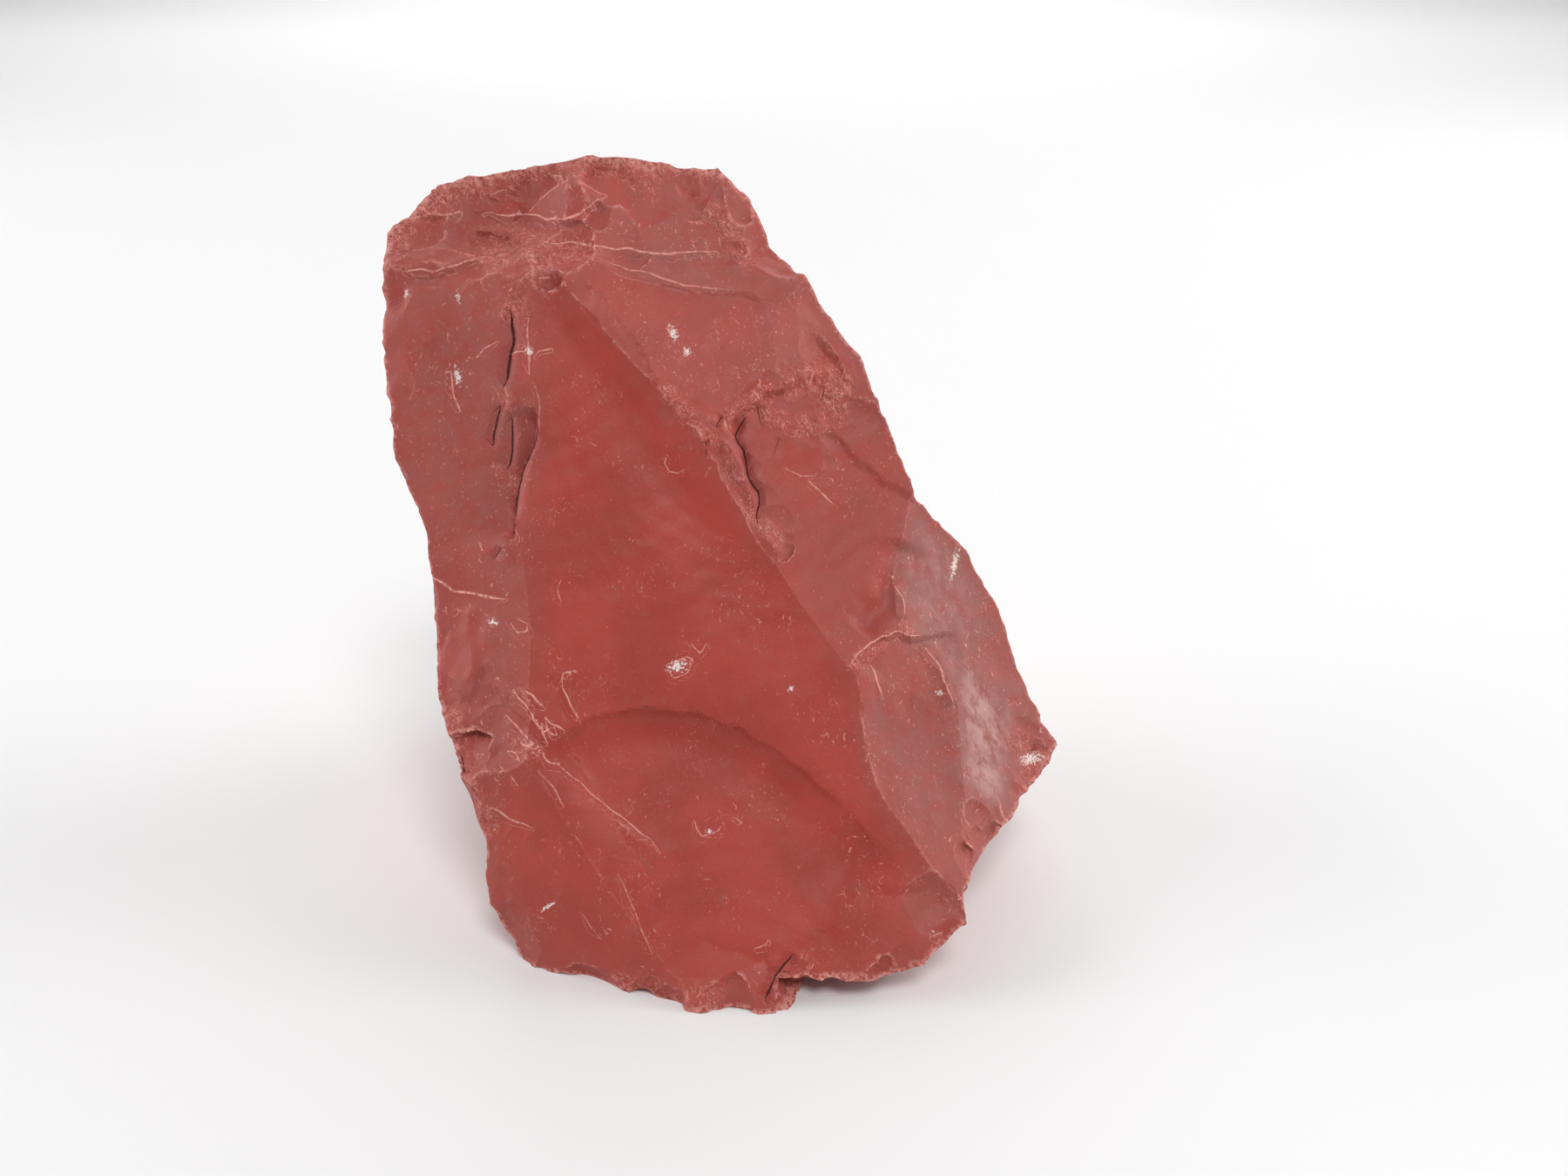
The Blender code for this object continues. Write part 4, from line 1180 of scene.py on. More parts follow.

# %% [markdown]
# ## Painted detail
#
# Some things on the stone are only colour: pale scratches, painted shade inside the cracks and a few
# chalky spots. An image painted by hand could carry them, but it would have only one size of detail.
# Here they follow lines too. Each corner stores how far it is from the nearest line, and the material
# turns that distance into a thin stroke, which stays sharper than the grid itself.

# %% Strokes and spots
# half width, strength, and the places of each pale stroke
STROKES = (
    (0.16, 1.0, (-41.5, 2.0), (-40.0, 1.0), (-38.0, -0.5), (-35.5, -0.8), (-33.5, -1.3), (-32.0, -1.5)),
    (0.10, 0.7, (-28.0, -18.7), (-27.2, -20.0), (-26.0, -20.2), (-24.0, -22.0), (-21.0, -24.5),
     (-16.0, -28.5), (-13.5, -31.0)),
    (0.10, 0.5, *FOOT_LINE),
    (0.11, 0.9, (-31.0, -11.6), (-29.6, -13.4), (-28.0, -15.2)),
    (0.14, 1.0, (-30.0, -11.5), (-28.8, -12.2), (-27.5, -13.8)),
    (0.15, 1.0, (-29.2, -13.9), (-28.0, -16.0), (-27.0, -18.0)),
    (0.12, 0.9, (-27.5, -14.5), (-26.6, -15.6), (-25.0, -16.3)),
    (0.12, 0.9, (-28.0, -15.0), (-26.6, -16.9), (-25.8, -16.9)),
    (0.12, 0.9, (-25.3, -10.3), (-25.2, -9.7), (-24.5, -9.6), (-24.4, -10.2)),
    (0.13, 0.9, (-25.3, -10.3), (-25.1, -12.0), (-24.3, -14.0), (-23.5, -15.3)),
    (0.12, 0.8, (-32.0, -14.8), (-30.3, -16.8), (-28.0, -18.5)),
    (0.12, 0.9, (-30.5, -17.8), (-29.2, -18.4), (-28.2, -18.9)),
    (0.10, 0.8, (-32.0, -18.6), (-31.0, -18.8), (-30.4, -20.0)),
    (0.10, 0.7, (-35.5, -18.8), (-34.2, -19.0)),
    (0.11, 0.8, (-27.7, -18.5), (-27.3, -19.8), (-26.5, -20.2), (-25.6, -20.0)),
    (0.11, 0.7, (-28.0, -21.0), (-26.6, -23.0), (-25.0, -25.2)),
    (0.12, 0.8, (-34.1, -25.0), (-32.6, -25.6), (-30.6, -26.8), (-28.8, -27.4)),
    (0.10, 0.7, (-31.3, -21.6), (-30.2, -22.8)),
    (0.10, 0.6, (-33.2, -21.4), (-32.2, -21.0)),
    (0.12, 0.9, *RIGHT_LEDGE[:-1]),
    (0.12, 0.8, (10.0, -8.6), (11.2, -12.7)),
    (0.11, 0.8, (16.3, -6.3), (17.6, -8.6), (18.8, -12.0), (19.4, -13.9)),
    (0.11, 0.6, (12.8, 0.6), (13.7, -1.0), (13.6, -3.4)),
    (0.10, 0.6, (20.6, -24.0), (20.9, -26.6), (21.6, -27.8)),
    (0.10, 0.6, (24.6, -24.0), (25.6, -28.0)),
    (0.13, 0.8, *CROWN_LEDGE),
    (0.11, 0.6, *CREST_LEFT),
    (0.11, 0.6, *CREST_RIGHT),
    (0.12, 0.8, (-28.3, 40.0), (-24.3, 39.9), (-20.3, 39.2), (-17.0, 38.7), (-13.3, 38.5), (-7.3, 38.5)),
    (0.11, 0.6, (-20.7, 38.0), (-18.0, 36.8), (-11.3, 34.8), (-5.7, 34.2)),
    (0.12, 0.7, (-42.3, 44.0), (-40.4, 44.7), (-38.6, 45.0)),
    (0.12, 0.7, *LEFT_LEDGE),
    (0.12, 0.8, (-44.3, 36.2), (-41.5, 36.4), (-40.3, 36.0), (-37.0, 37.5), (-34.3, 38.2)),
    (0.10, 0.5, *UPPER_LEDGE),
    (0.13, 0.7, (-27.8, 35.5), (-26.5, 35.6)),
    (0.12, 0.8, (-29.2, 31.5), (-29.3, 29.0), (-29.2, 26.5), (-29.1, 24.5)),
    (0.12, 0.8, (-31.8, 27.0), (-29.2, 27.1), (-26.0, 27.7)),
    (0.10, 0.6, (-30.2, 28.3), (-28.3, 26.2)),
    (0.09, 0.5, (-28.7, 24.0), (-28.1, 21.5), (-28.0, 18.0)),
    (0.12, 0.8, (-38.2, 25.0), (-38.0, 22.0), (-37.0, 20.0)),
    (0.13, 0.7, (-35.6, 26.3), (-34.6, 27.5), (-33.0, 28.2)),
    (0.10, 0.6, (-13.4, 15.6), (-13.9, 14.4), (-13.4, 13.4), (-12.2, 13.2), (-11.2, 13.8)),
    (0.10, 0.6, (-25.5, 1.2), (-26.0, 0.0), (-25.4, -1.6)),
    (0.10, 0.7, (-31.2, -4.0), (-30.6, -5.3), (-29.6, -5.1), (-29.6, -4.0), (-30.6, -3.6)),
    (0.11, 0.7, (-13.4, -9.4), (-12.6, -10.4), (-11.2, -9.8), (-10.4, -8.4), (-11.2, -7.8),
     (-12.6, -8.3), (-13.4, -9.4)),
    (0.10, 0.7, (-10.6, -6.2), (-9.6, -7.4), (-8.8, -6.4)),
    (0.11, 0.7, (-10.6, -26.6), (-9.4, -28.4), (-7.6, -28.0), (-7.0, -27.0)),
    (0.10, 0.6, (-5.6, -26.3), (-4.4, -27.4)),
    (0.11, 0.8, (2.8, 12.4), (4.2, 11.2), (5.8, 9.6)),
    (0.10, 0.6, (0.2, 13.8), (1.8, 12.6), (3.4, 13.0)),
    (0.10, 0.5, (-23.0, -37.3), (-20.8, -40.8)),
    (0.10, 0.7, (-3.2, -41.5), (-1.8, -41.0)),
    (0.09, 0.6, (16.5, -40.0), (18.4, -39.4)),
)

# right, up, half width, half height, turn in degrees of each chalky spot
SPOTS = (
    (19.6, 2.8, 0.34, 1.5, -12.0),
    (-37.6, 24.4, 0.35, 1.0, 8.0),
    (0.8, -11.6, 0.35, 0.3, 0.0),
    (-8.5, -28.0, 0.3, 0.4, 0.0),
    (17.0, -39.5, 0.5, 0.2, 30.0),
    (-27.0, -36.5, 0.9, 0.22, 35.0),
    (28.3, -19.6, 1.2, 0.6, 10.0),
    (-33.4, -3.9, 0.5, 0.35, 0.0),
    (-29.2, 27.2, 0.45, 0.45, 0.0),
    (-37.5, 33.5, 0.25, 0.7, 10.0),
    (-43.3, 34.0, 0.2, 0.8, 0.0),
    (-12.8, 29.2, 0.4, 0.9, 20.0),
    (-11.2, 27.0, 0.35, 0.5, 0.0),
    (-12.2, -9.0, 1.1, 0.6, 20.0),
    (17.8, -12.0, 0.4, 0.3, 0.0),
)

print("strokes", len(STROKES), "spots", len(SPOTS))

# %% Nearness to strokes, cracks and spots
OUTSIDE = -2.0
CRACK_GAIN = 2.5


def stroke_fields(view, table, front):
    """Signed distance to the nearest line divided by its half width, and the line's strength there.

    The half width shrinks to a fifth towards both ends of the line, and the strength dies away between
    0.45 and 0.8 mm from it.
    """
    nearest = np.full(len(view), 9.0)
    side = np.ones(len(view))
    strength = np.zeros(len(view))
    for half_width, power, *line in table:
        away, turn, progress = line_measure(view, line)
        taper = ease(progress, -0.05, 0.25) * (1.0 - ease(progress, 0.75, 1.05))
        ratio = away / (0.7 * half_width * (0.2 + 0.8 * taper))
        nearer = ratio < nearest
        nearest = np.where(nearer, ratio, nearest)
        side = np.where(nearer, turn, side)
        strength = np.where(nearer, power * (1.0 - ease(away, 0.45, 0.8)), strength)
    return nearest * side, strength * front


def spot_field(view, front):
    """How deep inside a chalky spot each point is: 1 in its middle, 0 at its rim, then below 0."""
    best = np.full(len(view), OUTSIDE)
    for right, up, half_width, half_height, turn in SPOTS:
        across, along = turned_axes(view, right, up, turn)
        best = np.maximum(best, 1.0 - np.hypot(across / half_width, along / half_height))
    return np.where(front > 0.3, best, OUTSIDE)


stroke, stroke_power = stroke_fields(wavy, STROKES, front)
# the crack lines carry the painted shade inside the cracks
crack, crack_power = stroke_fields(wavy, CRACKS, front)
crack_power = np.minimum(crack_power * CRACK_GAIN, 1.0)
chalk = spot_field(view, front)
# pale worn ridges: partly real wear, partly painted highlight where small chips along a sharp ridge catch the
# light; stronger where the surface turns more sharply and looks to the front
edge_wear_and_highlight = np.clip(np.sqrt(ridge) * 2.4 - 0.12, 0.0, 1.0) * (0.5 + 0.5 * front)
print("worn corners", int((edge_wear_and_highlight > 0.5).sum()))

# %% [markdown]
# ## The mesh
#
# The corners and triangles go into one closed mesh. Its grid has no seams or poles, because the six
# sides of the cube share their corners. Edges that turn more than 14 degrees are marked sharp and
# everything else is shaded smooth. The numbers that the material needs are stored on the corners.

# %% One closed stone
SHARP_TURN = math.radians(14.0)


def triangles(points, quads, on_ridge):
    """Split each cell along the diagonal that joins two ridge corners, or else the flatter one."""
    first = on_ridge[quads[:, 0]] & on_ridge[quads[:, 2]]
    second = on_ridge[quads[:, 1]] & on_ridge[quads[:, 3]]
    a, b, c, d = (points[quads[:, corner]] for corner in range(4))
    bend_first = (unit(np.cross(b - a, c - a)) * unit(np.cross(c - a, d - a))).sum(axis=1)
    bend_second = (unit(np.cross(b - a, d - a)) * unit(np.cross(c - b, d - b))).sum(axis=1)
    use_first = np.where(first != second, first, bend_first >= bend_second)
    one = np.where(use_first[:, None], quads[:, [0, 1, 2]], quads[:, [0, 1, 3]])
    two = np.where(use_first[:, None], quads[:, [0, 2, 3]], quads[:, [1, 2, 3]])
    return np.concatenate([one, two])


def build_mesh(name, points, faces):
    """Put corners in metres and triangles into a mesh with foreach_set."""
    mesh = bpy.data.meshes.new(name)
    mesh.vertices.add(len(points))
    mesh.vertices.foreach_set("co", ((points - REST_MIDDLE) * MM).astype(np.float32).ravel())
    mesh.loops.add(faces.size)
    mesh.loops.foreach_set("vertex_index", faces.astype(np.int32).ravel())
    mesh.polygons.add(len(faces))
    mesh.polygons.foreach_set("loop_start", np.arange(0, faces.size, 3, dtype=np.int32))
    mesh.update(calc_edges=True)
    mesh.validate()
    return mesh


def keep_value(mesh, name, values):
    """Store one number for each corner under a name that the material can read."""
    layer = mesh.attributes.new(name, "FLOAT", "POINT")
    layer.data.foreach_set("value", values.astype(np.float32))


faces = triangles(points, quads, on_ridge)
mesh = build_mesh("jasper_stone", points, faces)
mesh.shade_smooth()
mesh.set_sharp_from_angle(angle=SHARP_TURN)
STORED = {"edge_wear_and_highlight": edge_wear_and_highlight, "crushed": crushed, "stroke": stroke, "stroke_power": stroke_power,
          "crack": crack, "crack_power": crack_power, "chalk": chalk, "frost_and_sheen": frost_and_sheen, "tone": tone}
for name, values in STORED.items():
    keep_value(mesh, name, values)
stone = bpy.data.objects.new("jasper_stone", mesh)
bpy.context.scene.collection.objects.link(stone)
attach(stone, "root")
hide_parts(NODE)
print("triangles", len(faces))

# %% [markdown]
# ## Red jasper
#
# Jasper is quartz coloured by iron, packed so densely that it looks like sealing wax: a deep brick
# red with a dull, waxy gloss. The colour is cloudy rather than flat, and the frosted faces are paler,
# partly as painted sheen. Small percussion marks cover it as thin pale crescents, crushed places are
# paler and pinker with painted shade in their gaps, worn ridges are paler and pinker, partly as painted
# highlight, the cracks carry painted shade, and a few chalky spots lie on it. A photo could be wrapped
# round the stone instead, but it would show seams and a fixed sharpness. Every pattern here is worked
# out from the stone's own coordinates.

# %% Node helpers


class Graph:
    """Short calls that add a node, set its inputs and return its output."""

    def __init__(self, material):
        material.use_nodes = True
        self.tree = material.node_tree
        self.shader = self.tree.nodes["Principled BSDF"]

    def node(self, kind, inputs=(), output=0, **settings):
        made = self.tree.nodes.new(kind)
        for name, value in settings.items():
            setattr(made, name, value)
        for name, value in dict(inputs).items():
            self.feed(made.inputs[name], value)
        return made.outputs[output]

    def feed(self, socket, value):
        if isinstance(value, bpy.types.NodeSocket):
            self.tree.links.new(value, socket)
        else:
            socket.default_value = value

    def math(self, operation, first, second=0.0, third=0.0):
        return self.node("ShaderNodeMath", {0: first, 1: second, 2: third}, operation=operation)

    def vector(self, operation, first, second=(0.0, 0.0, 0.0), output=0):
        return self.node("ShaderNodeVectorMath", {0: first, 1: second}, output, operation=operation)

    def scaled(self, vector, amount):
        return self.node("ShaderNodeVectorMath", {0: vector, "Scale": amount}, operation="SCALE")

    def noise(self, vector, scale, detail=3.0, roughness=0.5, output="Fac"):
        return self.node("ShaderNodeTexNoise", {"Vector": vector, "Scale": scale, "Detail": detail,
                                                "Roughness": roughness}, output)

    def range(self, value, low, high, to_low=0.0, to_high=1.0):
        return self.node("ShaderNodeMapRange", {"Value": value, "From Min": low, "From Max": high,
                                                "To Min": to_low, "To Max": to_high},
                         interpolation_type="SMOOTHSTEP")

    def mix(self, factor, first, second):
        made = self.tree.nodes.new("ShaderNodeMix")
        made.data_type = "RGBA"
        self.feed(made.inputs[0], factor)
        self.feed(made.inputs[6], first)
        self.feed(made.inputs[7], second)
        return made.outputs[2]

    def stored(self, name):
        return self.node("ShaderNodeAttribute", output="Fac", attribute_name=name)


# %% Colours and small patterns
DEEP_RED = (0.360, 0.042, 0.031, 1.0)
BRICK_RED = (0.418, 0.051, 0.037, 1.0)
ROSE_RED = (0.310, 0.100, 0.086, 1.0)
# pale pink of chips, crushed threads and scratches, and of the painted highlight on worn ridges
CHIP_AND_HIGHLIGHT_PINK = (0.74, 0.320, 0.270, 1.0)
CRUSH_PINK = (0.44, 0.075, 0.052, 1.0)
# painted shade inside the cracks
CRACK_SHADE = (0.060, 0.010, 0.008, 1.0)
CHALK = (0.82, 0.68, 0.64, 1.0)
# painted sheen on the most frosted faces
FROST_SHEEN_PALE = (0.50, 0.265, 0.240, 1.0)
DARK_DOT = (0.14, 0.022, 0.018, 1.0)
# painted shade in the gaps between crushed flakes
GAP_SHADE = (0.15, 0.022, 0.018, 1.0)
QUARTZ_IOR = 1.54
GLOSS = 0.30


def crescents(graph, place, scale, radius, width):
    """Parts of thin shells round chance centres, which the surface cuts into small arcs."""
    cell = graph.tree.nodes.new("ShaderNodeTexVoronoi")
    graph.feed(cell.inputs["Vector"], place)
    cell.inputs["Scale"].default_value = scale
    gap = graph.vector("SUBTRACT", place, cell.outputs["Position"])
    away = graph.vector("LENGTH", gap, output="Value")
    tint = graph.vector("SUBTRACT", cell.outputs["Color"], (0.5, 0.5, 0.5))
    turned = graph.vector("DOT_PRODUCT", graph.vector("NORMALIZE", gap),
                          graph.vector("NORMALIZE", tint), output="Value")
    wanted = graph.math("MULTIPLY_ADD", graph.node("ShaderNodeSeparateColor",
                                                   {"Color": cell.outputs["Color"]}), radius, radius * 0.5)
    off = graph.math("ABSOLUTE", graph.math("SUBTRACT", away, wanted))
    shell = graph.range(off, width, 0.0)
    return graph.math("MULTIPLY", shell, graph.range(turned, 0.25, 0.9))


def specks(graph, place, scale, size, share):
    """Small round dots in some of the cells."""
    cell = graph.tree.nodes.new("ShaderNodeTexVoronoi")
    graph.feed(cell.inputs["Vector"], place)
    cell.inputs["Scale"].default_value = scale
    dot = graph.range(cell.outputs["Distance"], size, 0.0)
    chosen = graph.math("LESS_THAN", graph.node("ShaderNodeSeparateColor",
                                                {"Color": cell.outputs["Color"]}, 1), share)
    return graph.math("MULTIPLY", dot, chosen)


def streaks(graph, place, axis, angle, scale, low, high):
    """Short soft strokes along a turned axis: noise drawn out along it, kept where it peaks."""
    turned = graph.node("ShaderNodeVectorRotate",
                        {"Vector": place, "Axis": axis, "Angle": math.radians(angle)})
    drawn = graph.vector("MULTIPLY", turned, (scale, scale, scale * 0.18))
    return graph.range(graph.noise(drawn, 1.0, 2.0, 0.6), low, high)


# %% [markdown]
# ## Layers of the finish
#
# The finish is built up as a painter would: first the cloudy ground with painted sheen on the frosted
# faces, then small percussion marks, then the paler crushed places with painted shade in their gaps and
# the worn ridges with painted highlight, then the scratches, the painted shade of the cracks and chalk.
# Each layer is a mix of the colour so far and one more colour, with a pattern as the factor.

# %% Cloudy ground


def ground(graph, place, blotch, grain, streaky):
    """Two reds in clouds, rosier and paler where the stone is frosted: partly the paler colour of a frosted
    face, partly painted sheen.
    """
    colour = graph.mix(graph.range(graph.noise(place, 0.10, 4.0, 0.55), 0.38, 0.62), DEEP_RED, BRICK_RED)
    frost_and_sheen = graph.stored("frost_and_sheen")
    tone = graph.stored("tone")
    # painted sheen: frosted faces are mixed towards a paler rose, in clouds
    colour = graph.mix(graph.math("MULTIPLY", frost_and_sheen, graph.range(blotch, 0.3, 0.6, 0.45, 0.95)),
                       colour, ROSE_RED)
    # painted sheen: the most frosted faces, on the far right, get streaks of a pale grey pink
    pale = graph.math("MULTIPLY", graph.range(frost_and_sheen, 0.95, 1.4), graph.range(streaky, 0.36, 0.64))
    colour = graph.mix(pale, colour, FROST_SHEEN_PALE)
    colour = graph.mix(graph.range(blotch, 0.56, 0.75, 0.0, 0.3), colour, ROSE_RED)
    colour = graph.mix(graph.range(grain, 0.55, 0.75, 0.0, 0.2), colour, ROSE_RED)
    colour = graph.mix(graph.range(tone, 0.0, 1.0, 0.0, 0.25), colour, DEEP_RED)
    return graph.mix(graph.range(tone, 0.0, -1.0, 0.0, 0.22), colour, ROSE_RED)


# %% Percussion marks


def percussion_marks(graph, place, loose, colour):
    """Pale crescents, short strokes, smudges and dots, denser in some places, and a few dark dots."""
    dense = graph.range(graph.noise(place, 0.17, 3.0, 0.6), 0.46, 0.66, 0.0, 1.0)
    arcs = graph.math("MAXIMUM", crescents(graph, loose, 0.30, 1.05, 0.075),
                      crescents(graph, graph.vector("ADD", loose, (31.0, 17.0, 5.0)), 0.62, 0.42, 0.06))
    arcs = graph.math("MULTIPLY", graph.math("MULTIPLY", arcs, dense),
                      graph.range(graph.noise(place, 0.8, 2.0), 0.45, 0.6))
    marks = graph.math("MAXIMUM", streaks(graph, loose, (1.0, 0.3, 0.0), 70.0, 2.4, 0.62, 0.80),
                       streaks(graph, loose, (0.3, 1.0, 0.5), -25.0, 3.0, 0.63, 0.80))
    marks = graph.math("MULTIPLY", marks, graph.math("MULTIPLY_ADD", graph.stored("frost_and_sheen"), 0.7, dense))
    smudge = graph.range(graph.noise(place, 1.7, 3.0, 0.65), 0.64, 0.80)
    marks = graph.math("MAXIMUM", marks, graph.math("MULTIPLY", smudge, graph.math("ADD", dense, 0.25)))
    dots = specks(graph, loose, 0.9, 0.10, 0.30)
    dark = specks(graph, graph.vector("ADD", loose, (7.0, 3.0, 11.0)), 1.4, 0.12, 0.16)
    colour = graph.mix(graph.math("MULTIPLY", dark, 0.30), colour, DARK_DOT)
    for pattern, strength in ((arcs, 0.8), (marks, 0.9), (dots, 0.6)):
        colour = graph.mix(graph.math("MULTIPLY", pattern, strength), colour, CHIP_AND_HIGHLIGHT_PINK)
    return colour, arcs


# %% Crushed places, and worn ridges with painted highlight


def crushed_stone(graph, loose, rough_noise, streaky, colour):
    """Pink threads and flake borders where the stone is crushed, painted shade in the gaps between its
    flakes, and pale worn ridges that are partly painted highlight.
    """
    flat_place = graph.vector("MULTIPLY", loose, (1.0, 1.0, 0.7))
    flake = graph.node("ShaderNodeTexVoronoi", {"Vector": flat_place, "Scale": 0.75}, "Distance")
    border = graph.node("ShaderNodeTexVoronoi", {"Vector": flat_place, "Scale": 0.75}, "Distance",
                        feature="DISTANCE_TO_EDGE")
    crush = graph.stored("crushed")
    wear_and_highlight = graph.stored("edge_wear_and_highlight")
    threads = graph.math("MAXIMUM", streaks(graph, loose, (0.6, 1.0, 0.3), 35.0, 4.6, 0.50, 0.70),
                         streaks(graph, loose, (0.2, 1.0, -0.4), -50.0, 5.8, 0.52, 0.72))
    threads = graph.math("MULTIPLY", threads, graph.range(streaky, 0.42, 0.60, 0.10, 0.95))
    lines = graph.math("MULTIPLY", graph.range(border, 0.06, 0.0), graph.range(rough_noise, 0.50, 0.62))
    threads = graph.math("MULTIPLY", crush, graph.math("MAXIMUM", threads, lines))
    # painted shade: the gaps between crushed flakes are darkened where noise is low, and the bump sinks them
    # a little
    shaded_gaps = graph.math("MULTIPLY", crush, graph.range(graph.noise(loose, 1.6, 3.0, 0.6), 0.40, 0.33))
    # painted highlight and wear: pale pink along the sharp ridges, broken up by noise
    edge = graph.math("MULTIPLY", wear_and_highlight, graph.range(rough_noise, 0.40, 0.56))
    edge = graph.math("MULTIPLY", edge, graph.range(wear_and_highlight, 0.04, 0.42))
    colour = graph.mix(graph.math("MULTIPLY", crush, graph.range(rough_noise, 0.40, 0.64, 0.05, 0.55)),
                       colour, CRUSH_PINK)
    colour = graph.mix(graph.math("MULTIPLY", shaded_gaps, 0.22), colour, GAP_SHADE)
    colour = graph.mix(graph.math("MULTIPLY", edge, 0.95), colour, CHIP_AND_HIGHLIGHT_PINK)
    colour = graph.mix(graph.math("MULTIPLY", threads, 0.85), colour, CHIP_AND_HIGHLIGHT_PINK)
    bumps = ((shaded_gaps, -0.05), (threads, 0.02), (graph.math("MULTIPLY", crush, flake), 0.20), (edge, 0.03))
    return colour, crush, bumps


# %% Scratches, cracks and chalk


def near_line(graph, name, inner, outer):
    """1 on a stored line and 0 beside it."""
    away = graph.math("ABSOLUTE", graph.stored(name))
    on_line = graph.math("SUBTRACT", 1.0, graph.range(away, inner, outer))
    return graph.math("MULTIPLY", on_line, graph.stored(name + "_power"))


def drawn_lines(graph, place, rough_noise, colour):
    """Broken pale scratches, painted shade in the cracks and ragged chalky spots."""
    scratch = graph.math("MULTIPLY", near_line(graph, "stroke", 0.8, 1.6),
                         graph.range(rough_noise, 0.38, 0.54, 0.25, 1.0))
    colour = graph.mix(scratch, colour, CHIP_AND_HIGHLIGHT_PINK)
    # painted shade: the inside of each crack is darkened, because little light gets out of it
    split = near_line(graph, "crack", 0.4, 1.8)
    colour = graph.mix(split, colour, CRACK_SHADE)
    ragged = graph.math("ADD", graph.stored("chalk"),
                        graph.range(graph.noise(place, 3.6, 4.0, 0.7), 0.25, 0.75, -1.0, 0.9))
    return graph.mix(graph.range(ragged, -0.2, 0.6), colour, CHALK), split


# %% Jasper material


def jasper():
    """Cloudy red stone with painted sheen on frosted faces, pale marks, crushed places with painted shade in
    their gaps, worn ridges with painted highlight, scratches, cracks with painted shade and chalk.
    """
    material = bpy.data.materials.new("red_jasper_stone")
    graph = Graph(material)
    place = graph.scaled(graph.node("ShaderNodeTexCoord", output="Object"), 1.0 / MM)
    wobble = graph.scaled(graph.vector("SUBTRACT", graph.noise(place, 0.9, 2.0, 0.5, "Color"),
                                       (0.5, 0.5, 0.5)), 1.1)
    loose = graph.vector("ADD", place, wobble)
    blotch = graph.noise(place, 0.45, 4.0, 0.6)
    grain = graph.noise(place, 5.0, 3.0, 0.6)
    streaky = graph.noise(graph.vector("MULTIPLY", loose, (1.0, 1.0, 0.35)), 0.55, 4.0, 0.6)
    rough_noise = graph.noise(place, 1.9, 4.0, 0.65)
    colour = ground(graph, place, blotch, grain, streaky)
    colour, arcs = percussion_marks(graph, place, loose, colour)
    colour, crush, bumps = crushed_stone(graph, loose, rough_noise, streaky, colour)
    colour, split = drawn_lines(graph, place, rough_noise, colour)

    rough = graph.range(blotch, 0.3, 0.7, 0.42, 0.54)
    for pattern, amount in ((graph.stored("frost_and_sheen"), 0.10), (split, 0.4), (crush, 0.12), (arcs, 0.12)):
        rough = graph.math("MULTIPLY_ADD", pattern, amount, rough)
    height = graph.math("MULTIPLY", graph.noise(place, 1.6, 5.0, 0.62), 0.035)
    for pattern, amount in ((grain, 0.006), (arcs, 0.02), *bumps):
        height = graph.math("MULTIPLY_ADD", pattern, amount, height)
    bump = graph.node("ShaderNodeBump", {"Height": height, "Distance": MM, "Strength": 1.0})
    graph.feed(graph.shader.inputs["Base Color"], colour)
    graph.feed(graph.shader.inputs["Roughness"], rough)
    graph.feed(graph.shader.inputs["Normal"], bump)
    graph.shader.inputs["IOR"].default_value = QUARTZ_IOR
    graph.shader.inputs["Specular IOR Level"].default_value = GLOSS
    return material


stone.data.materials.append(jasper())
print("jasper nodes", len(stone.data.materials[0].node_tree.nodes))

# %% [markdown]
# ## Floor, light and camera
#
# The stone stands on a plain white sweep, a floor that curves up into a wall so that no corner shows.
# Two wide lamps light its sides softly. A smaller one at the upper front rakes over the faces, and
# that brings out their relief. A last one makes the far floor white. The sky fills in the rest.

# %% Floor
FLOOR_WHITE = (0.80, 0.80, 0.80, 1.0)
PAPER_ROUGHNESS = 0.9

# metres: width, front end, where it turns up, radius of the turn, height of the wall
SWEEP = (8.0, -2.0, 2.2, 0.6, 2.4)


def sweep(width, front, turn_at, radius, height):
    """A profile carried sideways: flat floor, a quarter circle, then a wall."""
    angle = np.linspace(0.0, math.pi / 2.0, 24)
    along = np.concatenate([[front], turn_at + radius * np.sin(angle), [turn_at + radius]])
    up = np.concatenate([[0.0], radius * (1.0 - np.cos(angle)), [height]])
    side = np.array([-width / 2.0, width / 2.0])
    grid = np.stack([np.repeat(side, len(along)), np.tile(along, 2), np.tile(up, 2)], axis=-1)
    row = np.arange(len(along) - 1)
    cells = np.stack([row, row + len(along), row + len(along) + 1, row + 1], axis=-1)
    mesh = bpy.data.meshes.new("floor")
    mesh.from_pydata(grid.tolist(), [], cells.tolist())
    mesh.shade_smooth()
    return mesh


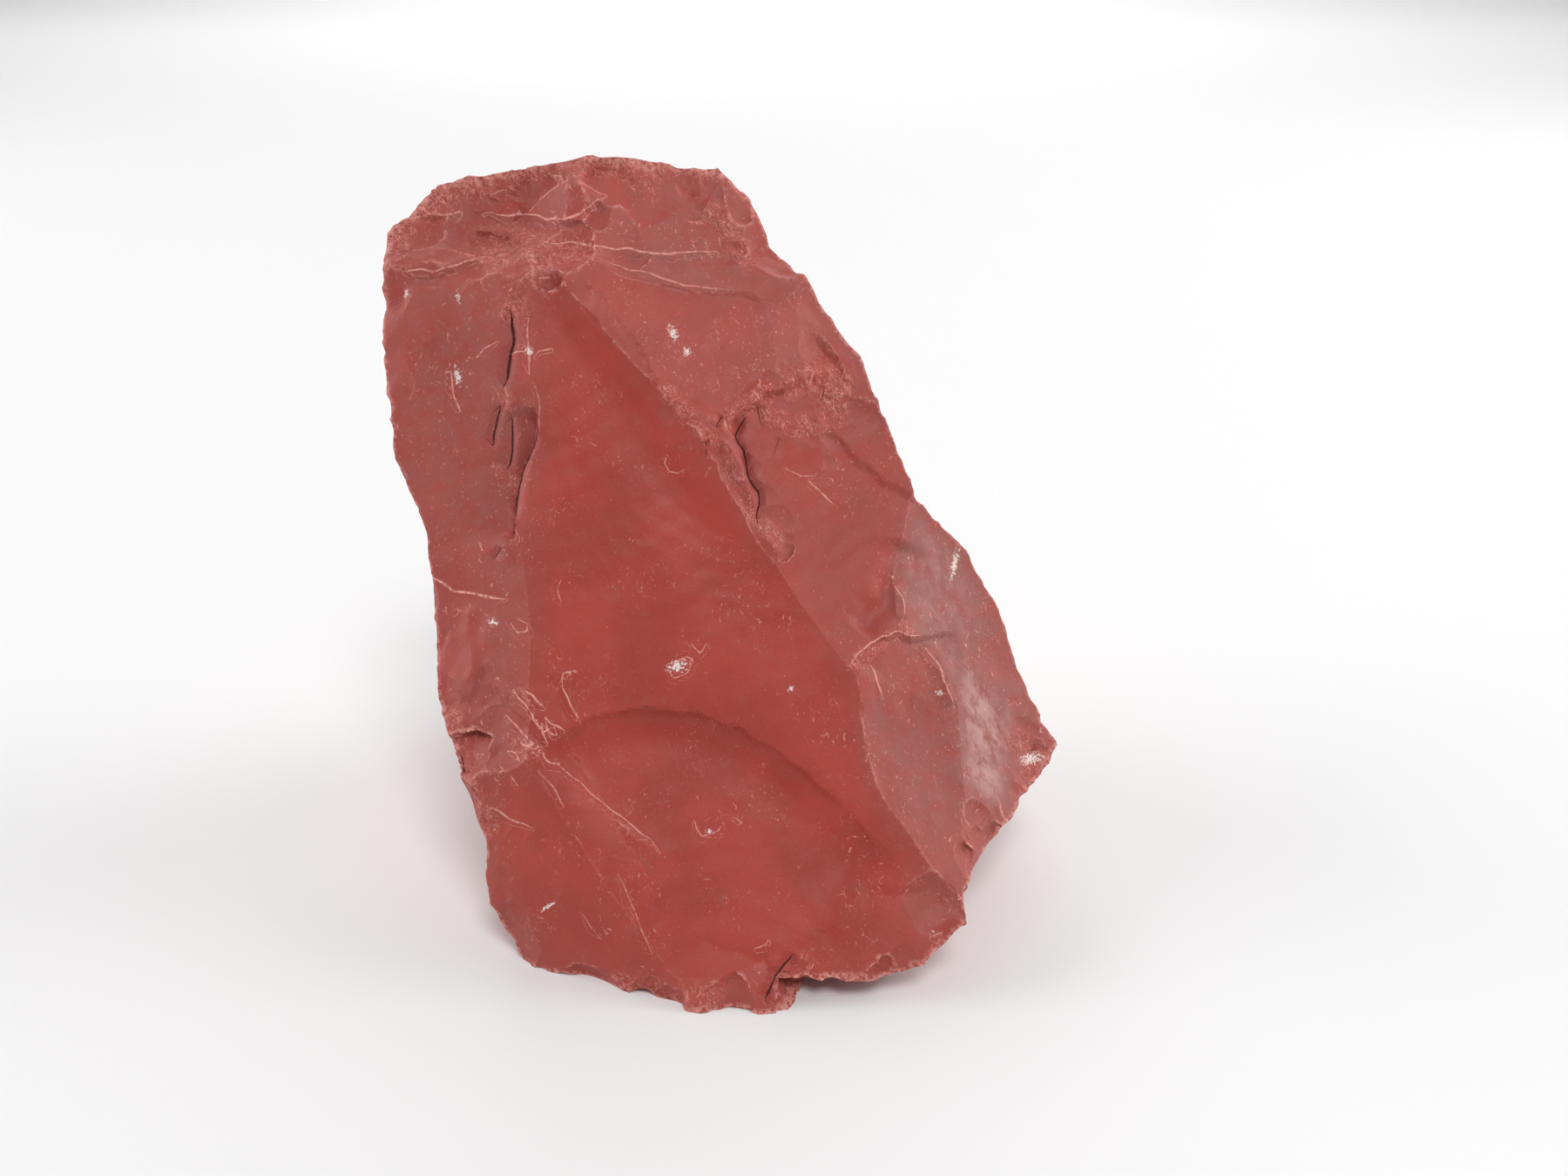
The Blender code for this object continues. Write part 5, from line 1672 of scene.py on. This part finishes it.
floor = bpy.data.objects.new("floor", sweep(*SWEEP))
bpy.context.scene.collection.objects.link(floor)
paper = bpy.data.materials.new("white_paper")
paper.use_nodes = True
paper_shader = paper.node_tree.nodes["Principled BSDF"]
paper_shader.inputs["Base Color"].default_value = FLOOR_WHITE
paper_shader.inputs["Roughness"].default_value = PAPER_ROUGHNESS
floor.data.materials.append(paper)
print("floor", tuple(floor.dimensions))

# %% Light
LOOK_AT = (spot(0.0, 0.0, 0.0) - REST_MIDDLE) * MM
FAR_FLOOR = (0.0, 2.10, 0.0)
SKY_STRENGTH = 0.22

# name, place, target, size, power, all in metres and watts
LAMPS = (
    ("top", (0.05, 0.30, 1.00), LOOK_AT, 1.2, 0.6),
    ("left", (-0.95, 0.10, 0.45), LOOK_AT, 0.9, 6.0),
    ("right", (0.95, 0.20, 0.50), LOOK_AT, 0.9, 7.0),
    ("key", (0.18, -0.62, 1.00), LOOK_AT, 0.42, 6.2),
    ("backdrop", (0.0, 1.90, 1.20), FAR_FLOOR, 2.2, 26.0),
)


def aim(item, place, target):
    """Stand an item at a place and turn its -Z towards a target."""
    item.location = place
    way = unit(np.asarray(target) - np.asarray(place))
    flat = math.hypot(way[0], way[1])
    item.rotation_euler = (math.atan2(flat, -way[2]), 0.0, math.atan2(-way[0], way[1]))


for name, place, target, size, power in LAMPS:
    light = bpy.data.lights.new(name, "AREA")
    light.shape = "DISK"
    light.size = size
    light.energy = power
    lamp = bpy.data.objects.new(name, light)
    bpy.context.scene.collection.objects.link(lamp)
    aim(lamp, place, target)

world = bpy.data.worlds.new("tent")
world.use_nodes = True
sky = world.node_tree.nodes["Background"]
sky.inputs["Color"].default_value = (1.0, 1.0, 1.0, 1.0)
sky.inputs["Strength"].default_value = SKY_STRENGTH
bpy.context.scene.world = world
bpy.context.scene.view_settings.view_transform = "Standard"
print("lamps", len(LAMPS))

# %% Camera
SENSOR_WIDTH = 36.0
LENS = 34.0
camera_data = bpy.data.cameras.new("camera")
camera_data.sensor_width = SENSOR_WIDTH
camera_data.lens = LENS
camera_data.clip_start = 10.0 * MM
camera = bpy.data.objects.new("camera", camera_data)
bpy.context.scene.collection.objects.link(camera)
aim(camera, (EYE - REST_MIDDLE) * MM, LOOK_AT)
bpy.context.scene.camera = camera
print("camera", tuple(camera.location))
